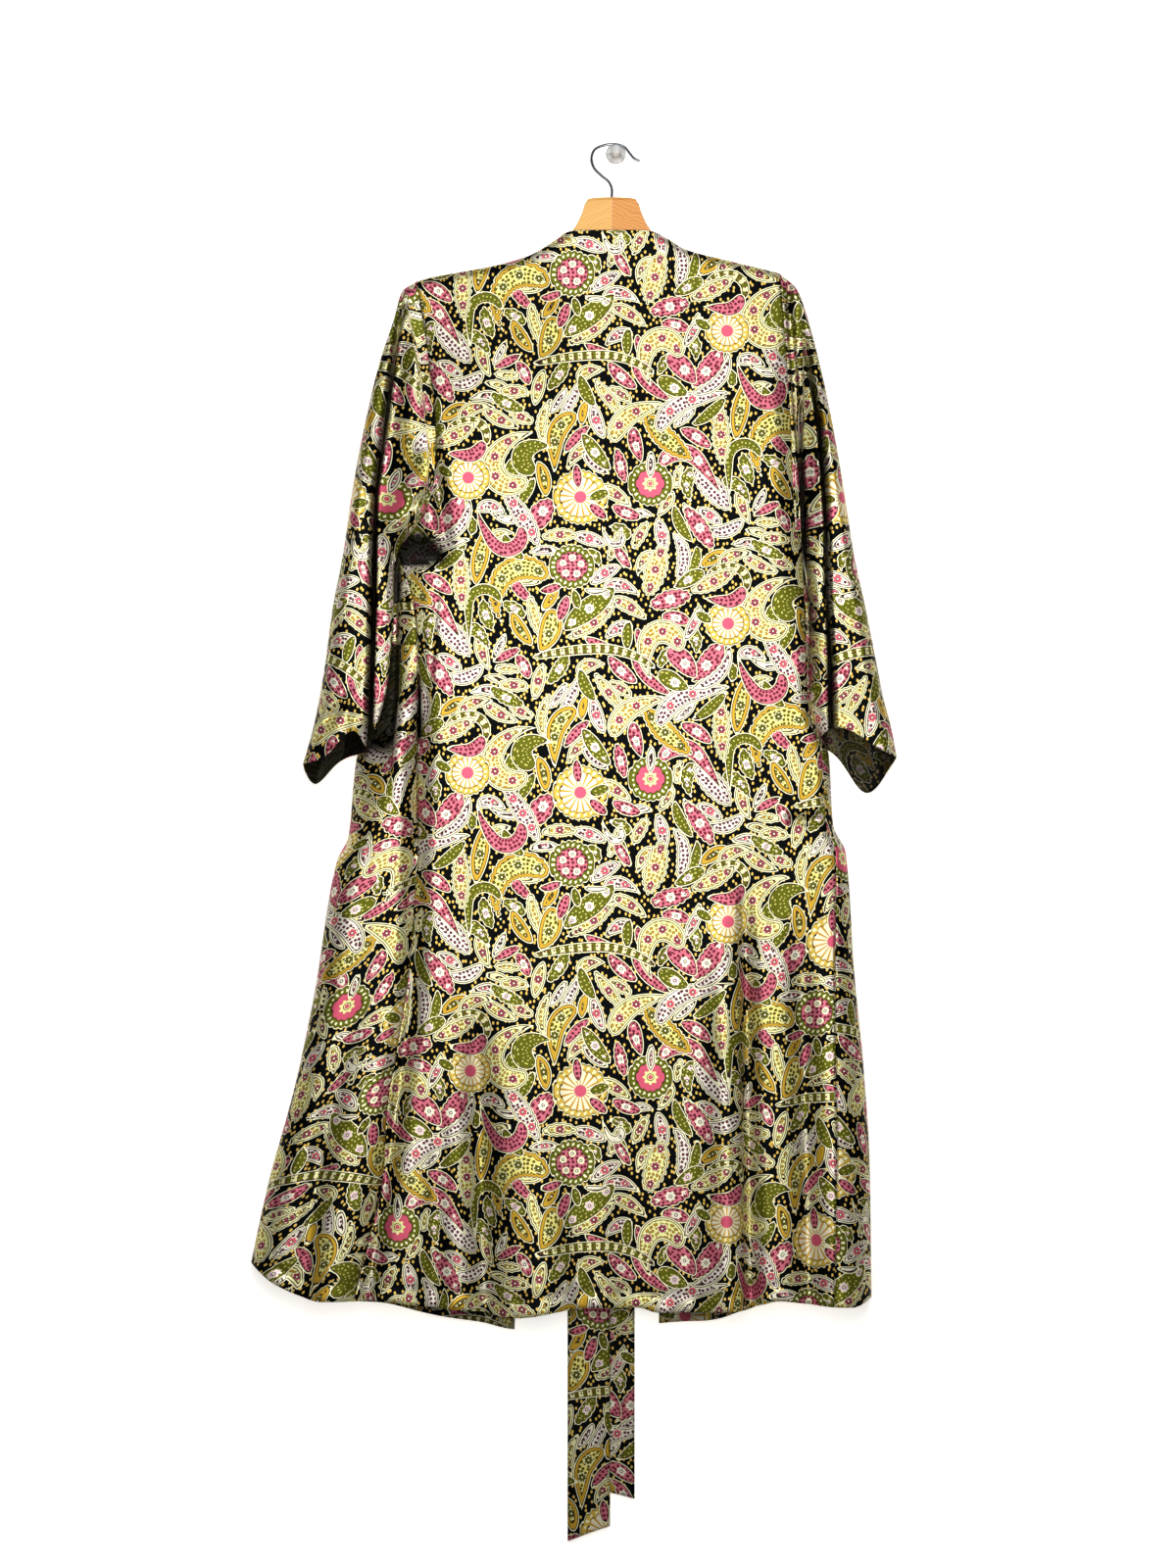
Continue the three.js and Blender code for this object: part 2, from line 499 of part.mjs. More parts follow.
// A closed wall: the grid moved to both sides along its normals, joined round its free edges.
function wallMesh(name, grid, normals, thickness, ring, sign, material) {
  const rows = grid.length;
  const columns = grid[0].length;
  const positions = [];
  for (const side of [0.5, -0.5]) {
    grid.forEach((row, i) => row.forEach((point, j) => {
      positions.push(...point.clone().addScaledVector(normals[i][j], side * thickness).toArray());
    }));
  }
  const indices = [];
  const at = (layer, i, j) => layer * rows * columns + i * columns + (j % columns);
  const quad = (a, b, c, d) => {
    if (sign > 0) indices.push(a, b, c, a, c, d);
    else indices.push(a, c, b, a, d, c);
  };
  const spans = ring ? columns : columns - 1;
  for (let i = 0; i < rows - 1; i += 1) {
    for (let j = 0; j < spans; j += 1) {
      quad(at(0, i, j), at(0, i + 1, j), at(0, i + 1, j + 1), at(0, i, j + 1));
      quad(at(1, i, j), at(1, i, j + 1), at(1, i + 1, j + 1), at(1, i + 1, j));
    }
  }
  for (let j = 0; j < spans; j += 1) {
    quad(at(0, 0, j), at(0, 0, j + 1), at(1, 0, j + 1), at(1, 0, j));
    quad(at(0, rows - 1, j), at(1, rows - 1, j), at(1, rows - 1, j + 1), at(0, rows - 1, j + 1));
  }
  if (!ring) {
    for (let i = 0; i < rows - 1; i += 1) {
      quad(at(0, i, 0), at(1, i, 0), at(1, i + 1, 0), at(0, i + 1, 0));
      quad(at(0, i, columns - 1), at(0, i + 1, columns - 1), at(1, i + 1, columns - 1),
        at(1, i, columns - 1));
    }
  }
  return meshFrom(name, positions, indices, material);
}

// ---- finishes -----------------------------------------------------------------------------------
const cloth = new THREE.MeshStandardMaterial({ color: 0x8a7f52, roughness: 0.4, metalness: 0 });
const wood = new THREE.MeshStandardMaterial({ color: 0xe3a55c, roughness: 0.55, metalness: 0 });
const steel = new THREE.MeshStandardMaterial({ color: 0xb9bcc0, roughness: 0.3, metalness: 1 });
const enamel = new THREE.MeshStandardMaterial({ color: 0xe6e6e4, roughness: 0.35, metalness: 0 });

// ---- the gown -----------------------------------------------------------------------------------
function gown() {
  const backGrid = ROWS.map(backRow);
  const leftGrid = ROWS.map((row) => frontRow(row, "left"));
  const rightGrid = ROWS.map((row) => frontRow(row, "right"));
  const leftLoop = armhole(backGrid, leftGrid, "left");
  const rightLoop = armhole(backGrid, rightGrid, "right");
  const whole = () => true;
  const panels = [
    { name: "back", grid: backGrid, ring: false, sign: 1,
      seams: { top: (j) => j <= TOP_COLUMNS || j >= TOP_COLUMNS + NECK_COLUMNS, first: true, last: true } },
    { name: "front_left", grid: leftGrid, ring: false, sign: -1, seams: { top: whole, first: true } },
    { name: "front_right", grid: rightGrid, ring: false, sign: 1, seams: { top: whole, first: true } },
    { name: "sleeve_left", grid: sleeveGrid(leftLoop, SLEEVE_LEFT, CUFF_LEFT, LEFT_SLEEVE_FOLDS),
      ring: true, sign: 1, seams: { top: whole } },
    { name: "sleeve_right", grid: sleeveGrid(rightLoop, SLEEVE_RIGHT, CUFF_RIGHT, RIGHT_SLEEVE_FOLDS),
      ring: true, sign: -1, seams: { top: whole } },
  ];
  for (const panel of panels) panel.normals = gridNormals(panel.grid, panel.ring, panel.sign);
  shareSeamNormals(panels);
  return {
    walls: panels.map((panel) => wallMesh(panel.name, trimmed(panel), panel.normals, CLOTH, panel.ring,
      panel.sign, cloth)),
    ties: [tie("left", panels[1]), tie("right", panels[2])],
  };
}

// ---- the ties -----------------------------------------------------------------------------------
// A tie from its side seam: on the front's own facets, moved out, and on to the knot.
function tie(side, front) {
  const outward = side === "left" ? -1 : 1;
  const toWall = new THREE.Vector3(0, 1, 0);
  const normals = TIE_ROWS.map((row) => [...front.normals[row], toWall, toWall]);
  const grid = TIE_ROWS.map((row, i) => {
    const onFront = front.grid[row].map((point, j) => (
      point.clone().addScaledVector(front.normals[row][j], TIE_STANDOFF)));
    const last = onFront[onFront.length - 1];
    const end = new THREE.Vector3(KNOT.x + outward * (KNOT.halfX + GAP), KNOT.y + 1,
      KNOT.z + (0.5 - i) * BELT_WIDTH * TIE_PINCH);
    return [...onFront, last.clone().lerp(end, 0.5), end];
  });
  return wallMesh(`belt_${side}`, grid, normals, BELT_THICK, false, front.sign, cloth);
}

// The knot: a rounded block of folded tie.
function knot() {
  const geometry = new THREE.SphereGeometry(1, 20, 14);
  const position = geometry.getAttribute("position");
  const square = (v) => Math.sign(v) * Math.abs(v) ** KNOT.squareness;
  for (let i = 0; i < position.count; i += 1) {
    position.setXYZ(i, KNOT.x + KNOT.halfX * square(position.getX(i)),
      KNOT.y + KNOT.halfY * square(position.getY(i)), KNOT.z + KNOT.halfZ * square(position.getZ(i)));
  }
  const mesh = new THREE.Mesh(geometry, cloth);
  mesh.name = "belt_knot";
  return mesh;
}

// A hanging end of the tie: narrow under the knot, full width lower down, its foot cut aslant.
function tieEnd({ name, topX, footX, y, foot, slant, sway }) {
  const top = KNOT.z - KNOT.halfZ - GAP;
  const grid = steps(TIE_END_ROWS).map((t) => {
    const width = mix(0.32, 1, ease(t * 9)) * BELT_WIDTH;
    const middle = mix(topX, footX, ease(t * 5));
    return [-0.5, -0.17, 0.17, 0.5].map((share) => new THREE.Vector3(
      middle + share * width,
      y + sway * Math.sin(4.2 * t + share) * ease(t * 4) * 0.6 + 1.2 * Math.cos(share * 5),
      mix(top, foot + share * 2 * slant, t),
    ));
  });
  return wallMesh(name, grid, gridNormals(grid, false, 1), BELT_THICK, false, 1, cloth);
}

// ---- what holds it ------------------------------------------------------------------------------
// One half of the wooden hanger: eight-sided sections from the mitre at the neck to the tip.
function hangerHalf(side) {
  const outward = side === "left" ? -1 : 1;
  const mitre = GAP / 2;
  const sections = HANGER_STATIONS.map((from) => {
    const x = NECK_X + outward * Math.max(mitre, from);
    const tipDrop = HANGER_TIP.drop * clamp01((from - HANGER_REACH) / HANGER_TIP.length + 1) ** 2;
    const underCloth = lookup(TOP, "x", x, "z") - HANGER_UNDER_CLOTH - tipDrop;
    const neck = HANGER_NECK[HANGER_NECK.length - 1];
    const top = from < neck.from ? lookup(HANGER_NECK, "from", from, "top") : underCloth;
    const arm = Math.min(top, lookup(TOP, "x", NECK_X, "z") - 4);
    const bottom = arm + tipDrop - mix(HANGER_DEPTHS.neck, HANGER_DEPTHS.tip, (from / HANGER_REACH) ** 1.4);
    const y = hangerY(x);
    const inner = ARM_HALF - HANGER_DEPTHS.bevel;
    return [
      [y - inner, top], [y - ARM_HALF, top - HANGER_DEPTHS.bevel],
      [y - ARM_HALF, bottom + HANGER_DEPTHS.bevel], [y - inner, bottom], [y + inner, bottom],
      [y + ARM_HALF, bottom + HANGER_DEPTHS.bevel], [y + ARM_HALF, top - HANGER_DEPTHS.bevel],
      [y + inner, top],
    ].map(([sectionY, z]) => [x, sectionY, z]);
  });
  const count = sections[0].length;
  const positions = sections.flat(2);
  const indices = [];
  const face = (a, b, c) => (side === "left" ? indices.push(a, b, c) : indices.push(a, c, b));
  for (let i = 0; i < sections.length - 1; i += 1) {
    for (let j = 0; j < count; j += 1) {
      const [a, b] = [i * count + j, i * count + ((j + 1) % count)];
      face(a, a + count, b);
      face(b, a + count, b + count);
    }
  }
  const tip = (sections.length - 1) * count;
  for (let j = 1; j < count - 1; j += 1) {
    face(0, j, j + 1);
    face(tip, tip + j + 1, tip + j);
  }
  return meshFrom(`hanger_wood_${side}`, positions, indices, wood);
}

function hangerHook() {
  const line = new THREE.CatmullRomCurve3(HOOK_LINE.map(({ x, z }) => new THREE.Vector3(x, HANGER_Y, z)));
  const section = new THREE.Shape(steps(HOOK_SIDES).slice(0, -1).map((t) => new THREE.Vector2(
    HOOK_RADIUS * Math.cos(2 * Math.PI * t), HOOK_RADIUS * Math.sin(2 * Math.PI * t),
  )));
  const geometry = new THREE.ExtrudeGeometry(section, { steps: HOOK_STEPS, extrudePath: line });
  const mesh = new THREE.Mesh(geometry, steel);
  mesh.name = "hanger_hook";
  return mesh;
}

function wallHook() {
  const profile = PEG_PROFILE.map(({ radius, out }) => new THREE.Vector2(radius, out));
  const mesh = new THREE.Mesh(new THREE.LatheGeometry(profile, PEG_SIDES), enamel);
  mesh.rotation.x = Math.PI;
  mesh.name = "wall_hook";
  return mesh;
}

const group = new THREE.Group();
const { walls, ties } = gown();
group.add(...walls, ...ties, knot(), ...TIE_ENDS.map(tieEnd));
group.add(hangerHalf("left"), hangerHalf("right"), hangerHook(), wallHook());
export default group;
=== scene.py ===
"""A long collarless dressing gown of printed satin on a wooden hanger, its back outwards.

The sheets repeat the frame's own section tables, in millimetres, at a finer spacing, and become
metres when a mesh is made. The wall is the plane y = 0, +Z is up, and the gown stands out from the
wall towards -Y. "Left" is the wearer's left, towards -X.
"""
import logging
import math
from collections.abc import Callable
from dataclasses import dataclass, field, replace
from enum import Enum
from functools import cache
from typing import ClassVar

import bpy
import numpy as np
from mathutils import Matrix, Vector


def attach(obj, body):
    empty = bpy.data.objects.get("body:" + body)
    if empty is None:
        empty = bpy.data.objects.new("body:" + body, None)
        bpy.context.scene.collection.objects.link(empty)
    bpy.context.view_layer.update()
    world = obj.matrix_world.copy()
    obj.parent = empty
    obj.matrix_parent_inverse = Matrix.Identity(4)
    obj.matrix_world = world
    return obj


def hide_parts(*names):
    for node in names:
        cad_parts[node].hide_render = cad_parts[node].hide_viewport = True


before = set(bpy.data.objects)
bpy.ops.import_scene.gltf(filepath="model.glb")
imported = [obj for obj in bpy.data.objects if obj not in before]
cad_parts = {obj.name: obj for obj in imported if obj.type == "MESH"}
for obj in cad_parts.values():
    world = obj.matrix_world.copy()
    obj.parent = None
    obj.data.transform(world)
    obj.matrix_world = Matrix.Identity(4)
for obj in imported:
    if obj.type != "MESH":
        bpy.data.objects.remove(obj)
log = logging.getLogger("gown")

Array = np.ndarray
Number = Array | float
Colour = tuple[float, float, float, float]
Pair = tuple[float, float]
Triple = tuple[float, float, float]
Socket = bpy.types.NodeSocket
Value = Socket | float | Colour | None

MM = 0.001
FAR_OUTSIDE = 50.0
SLOTS = 4                        # motifs that one facet of cloth can show
PAINTED_SHADE_FROM = 9.0                  # depth at which painted shade begins at the foot of a fold
PAINTED_SHADE_OVER = 12.0                 # further depth over which the painted shade goes fully dark


# ---- small mathematics -----------------------------------------------------------------------
def mix(a: Number, b: Number, t: Number) -> Number:
    """Value between a and b at the share t."""
    return a + (b - a) * t


def ease(t: Number) -> Number:
    """Smooth step from 0 to 1."""
    t = np.clip(t, 0.0, 1.0)
    return t * t * (3.0 - 2.0 * t)


def quarter_round(t: Number) -> Number:
    """Height of a quarter circle at the share t of its width."""
    return np.sqrt(np.maximum(0.0, 1.0 - (1.0 - np.clip(t, 0.0, 1.0)) ** 2))


class Curve:
    """A smooth line through a table's points, without overshoot between them."""

    def __init__(self, at: list[float], values: list[float]) -> None:
        """Keep the table and its slopes.

        Args:
            at: Places of the points, rising or falling.
            values: Value at each of them.
        """
        order = 1 if at[-1] > at[0] else -1
        self.at = np.array(at[::order], float)
        self.values = np.array(values[::order], float)
        rate = np.diff(self.values) / np.diff(self.at)
        self.slope = np.zeros(len(self.at))
        self.slope[[0, -1]] = rate[[0, -1]]
        product = rate[:-1] * rate[1:]
        total = rate[:-1] + rate[1:]
        same = product > 0
        self.slope[1:-1][same] = 2.0 * product[same] / total[same]

    def __call__(self, x: Number) -> Array:
        """Value of the line, held level past its ends.

        Args:
            x: Places at which it is wanted.

        Returns:
            A value for each place.
        """
        x = np.clip(np.asarray(x, float), self.at[0], self.at[-1])
        i = np.clip(np.searchsorted(self.at, x, side="right") - 1, 0, len(self.at) - 2)
        span = self.at[i + 1] - self.at[i]
        t = (x - self.at[i]) / span
        return ((2 * t**3 - 3 * t**2 + 1) * self.values[i]
                + (t**3 - 2 * t**2 + t) * span * self.slope[i]
                + (3 * t**2 - 2 * t**3) * self.values[i + 1]
                + (t**3 - t**2) * span * self.slope[i + 1])


def curves(rows: list[tuple], names: str) -> dict[str, Curve]:
    """One curve for each named column of a table whose rows are each led by their place."""
    at = [row[0] for row in rows]
    return {name: Curve(at, [row[k + 1] for row in rows]) for k, name in enumerate(names.split())}


def divide(points: Array, fractions: Array, along: Array) -> Array:
    """Divide a run of points at given fractions of its length.

    Args:
        points: The run, one point a row.
        fractions: Shares of its length.
        along: Points whose run is measured for it, one for each of the run's.

    Returns:
        A point for each fraction.
    """
    length = np.concatenate([[0.0], np.cumsum(np.linalg.norm(np.diff(along, axis=0), axis=1))])
    target = np.asarray(fractions) * length[-1]
    return np.stack([np.interp(target, length, points[:, k]) for k in range(3)], axis=1)


class Form(Enum):
    """Cross-section of a crease."""

    SOFT = 0
    SHARP = 1
    PLEAT = 2
    STEP = 3


@dataclass(frozen=True)
class Crease:
    """A crease along a path that runs down the cloth.

    Each point of the path has its place across, its height and its share of the depth. A positive
    depth is a valley towards the wall. A step sets back all that lies on the side of its width. A
    deep crease may swallow more cloth than its two walls show.
    """

    width: float
    depth: float
    path: tuple[Triple, ...]
    form: Form = Form.SOFT
    swallows: float = 0.0
    bow: ClassVar[float] = 0.8           # power that bows the walls of a sharp crease
    lean: ClassVar[float] = 0.55         # how far a pleat's foot lies to one side, in its widths
    gentle: ClassVar[float] = 0.95       # spread of a pleat's gentle side
    steep: ClassVar[Pair] = (0.35, 0.5)  # where its steep side begins, and how wide that is
    taken_in: ClassVar[float] = 0.8      # how fast the cloth goes in over the crease's width

    def off(self, x: Number, z: Number) -> Array:
        """How far places lie from the crease's path, in its widths."""
        across, heights, _ = np.array(self.path[::-1]).T
        return (x - np.interp(z, heights, across)) / self.width

    def swallowed(self, x: Array, z: Array) -> Array:
        """Cloth that the crease has swallowed between lower places across and each place."""
        return self.swallows * ease(0.5 + self.taken_in * self.off(x, z))

    def relief(self, x: Number, z: Number) -> Array:
        """Depth of the crease at each place.

        Args:
            x: Places across.
            z: Heights.

        Returns:
            How far the cloth moves towards the wall.
        """
        _, heights, shares = np.array(self.path[::-1]).T
        off = self.off(x, z)
        if self.form is Form.SOFT:
            section = np.exp(-off * off)
        elif self.form is Form.SHARP:
            section = np.clip(1 - np.abs(off), 0, 1) ** self.bow
        elif self.form is Form.PLEAT:
            start, reach = self.steep
            section = np.exp(-((off - self.lean) / self.gentle) ** 2) * ease((off + start) / reach)
        else:
            section = ease(off + 0.5)
        return self.depth * np.interp(z, heights, shares) * section


@dataclass(frozen=True)
class Hollow:
    """A hollow that deepens from its upper lip down to a sill, whose paths run across the cloth."""

    lip: tuple[Pair, ...]
    sill: tuple[Pair, ...]
    depth: float
    brink: float = 4.0
    slope: ClassVar[Pair] = (0.8, 0.8)   # share of its height over which it deepens, and the bow of that
    full_height: ClassVar[float] = 24.0  # height between lip and sill from which it is fully deep

    def relief(self, x: Number, z: Number) -> Array:
        """Depth of the hollow at each place, as a crease's.

        Args:
            x: Places across.
            z: Heights.

        Returns:
            How far the cloth moves towards the wall.
        """
        lip = np.interp(x, *np.array(self.lip).T)
        sill = np.interp(x, *np.array(self.sill).T)
        tall = lip - sill
        reach, bow = self.slope
        share = np.clip((lip - z) / np.maximum(reach * tall, 1.0), 0, 1) ** bow
        first, last = self.sill[0][0], self.sill[-1][0]
        within = ease((x - first) / self.brink) * ease((last - x) / self.brink)
        return (self.depth * share * within * ease((z - sill) / self.brink + 0.5)
                * ease(tall / self.full_height))


def crease(width: float, depth: float, *path: Triple, form: Form = Form.SOFT,
           swallows: float = 0.0) -> Crease:
    """A crease from its width, its depth and the points of its path."""
    return Crease(width, depth, path, form, swallows)


def relief(creases: list[Crease | Hollow], x: Number, z: Number) -> Array:
    """Depth of all creases and hollows of a list together."""
    return sum((one.relief(x, z) for one in creases), np.zeros(np.shape(x)))


# ---- the print -------------------------------------------------------------------------------
class Dye(Enum):
    """Colourways of the print's motifs."""

    CREAM = 0
    WHITE = 1
    OLIVE = 2
    PINK = 3
    MUSTARD = 4
    CHECK = 5
    DOME = 6
    FAN = 7
    ROSETTE = 8


CREAM, WHITE, OLIVE, PINK, MUSTARD, CHECK, DOME, FAN, ROSETTE = Dye


class Shape(Enum):
    """How a motif's width runs from its foot to its tip, as the powers of both shares."""

    LEAF = (0.8, 0.8)
    COMMA = (1.15, 0.45)
    DROP = (0.9, 0.5)
    PLUME = (0.6, 0.75)
    BAND = (0.3, 0.3)
    DISC = (0.5, 0.5)


@dataclass(frozen=True)
class Motif:
    """One motif of the repeat: a stroke that springs from its foot and curls as it goes.

    The curl is how far it turns over its first half and over its second. The wave is the height of
    the lobes along its edge, and the floret the spacing of the small flowers threaded on it.
    """

    x: float
    y: float
    heading: float
    length: float
    width: float
    curl: Pair
    shape: Shape
    dye: Dye
    wave: float = 0.0
    floret: float = 0.0
    trim: ClassVar[float] = 1.35     # how far the drawn edge keeps inside the stroke
    steps: ClassVar[int] = 28        # straight runs that make up its middle line

    def spine(self) -> Array:
        """Run along the middle of the stroke.

        Returns:
            Its points, from its foot to its tip.
        """
        t = (np.arange(self.steps) + 0.5) / self.steps
        turn = np.where(t < 0.5, self.curl[0] * 2 * t, self.curl[0] + self.curl[1] * (2 * t - 1))
        angle = np.radians(self.heading + turn)
        step = self.length / self.steps
        run = np.stack([np.cos(angle), np.sin(angle)], axis=1) * step
        return np.concatenate([[[self.x, self.y]], np.array([self.x, self.y]) + np.cumsum(run, axis=0)])

    def half_width(self, t: Array) -> Array:
        """Half of the stroke's width.

        Args:
            t: Shares of its length.

        Returns:
            Half its width at each of them.
        """
        a, b = self.shape.value
        peak = a / (a + b)
        top = peak**a * (1 - peak) ** b
        return 0.5 * self.width * np.clip(t, 0, 1) ** a * np.clip(1 - t, 0, 1) ** b / top - self.trim

    def measure(self, points: Array, shift: Array) -> Array:
        """Place points along and across the stroke.

        Args:
            points: Places on the flat cloth.
            shift: How far this copy of the motif lies from the repeat's own.

        Returns:
            For each point its place along the stroke from the middle, its place across it, and how
            far it lies outside the stroke's edge.
        """
        if self.shape is Shape.DISC:
            away = points - shift - np.array([self.x + self.length / 2, self.y])
            return np.stack([away[:, 0], away[:, 1], np.hypot(*away.T) - self.width / 2], axis=1)
        spine = self.spine() + shift
        start = spine[:-1]
        run = spine[1:] - start
        size = (run**2).sum(axis=1)
        away = points[:, None, :] - start[None]
        t = np.clip((away * run).sum(axis=2) / size, 0, 1)
        apart = away - t[..., None] * run
        distance = np.sqrt((apart**2).sum(axis=2))
        share = (np.arange(len(run)) + t) / len(run)
        outside = distance - self.half_width(share)
        best = outside.argmin(axis=1)
        pick = np.arange(len(points))
        side = np.sign(run[best, 0] * apart[pick, best, 1] - run[best, 1] * apart[pick, best, 0])
        along = (share[pick, best] - 0.5) * self.length
        return np.stack([along, side * distance[pick, best], outside[pick, best]], axis=1)


def stroke(shape: Shape, bend: Pair = (0, 0)) -> Callable[..., Motif]:
    """Set up one kind of motif.

    Args:
        shape: Its shape.
        bend: Its curl, where the chart gives none.

    Returns:
        What makes a motif of this kind.
    """
    def motif(x: float, y: float, heading: float, length: float, width: float, dye: Dye,
              curl: Pair = bend, wave: float = 0.0, floret: float = 0.0) -> Motif:
        """A motif of this kind."""
        return Motif(x, y, heading, length, width, curl, shape, dye, wave, floret)
    return motif


leaf = stroke(Shape.LEAF)                # pointed at both ends
drop = stroke(Shape.DROP)                # straight, and round at its end
comma = stroke(Shape.COMMA, (40, 120))   # a bent paisley, with its fat head at the end
plume = stroke(Shape.PLUME, (40, -40))   # long and slender


def disc(x: float, y: float, radius: float, dye: Dye, wave: float) -> Motif:
    """A round flower head."""
    return Motif(x - radius, y, 0, 2 * radius, 2 * radius, (0, 0), Shape.DISC, dye, wave)


def band(x: float, y: float, heading: float, length: float, width: float, curl: Pair) -> Motif:
    """A scroll of checks."""
    return Motif(x, y, heading, length, width, curl, Shape.BAND, CHECK)


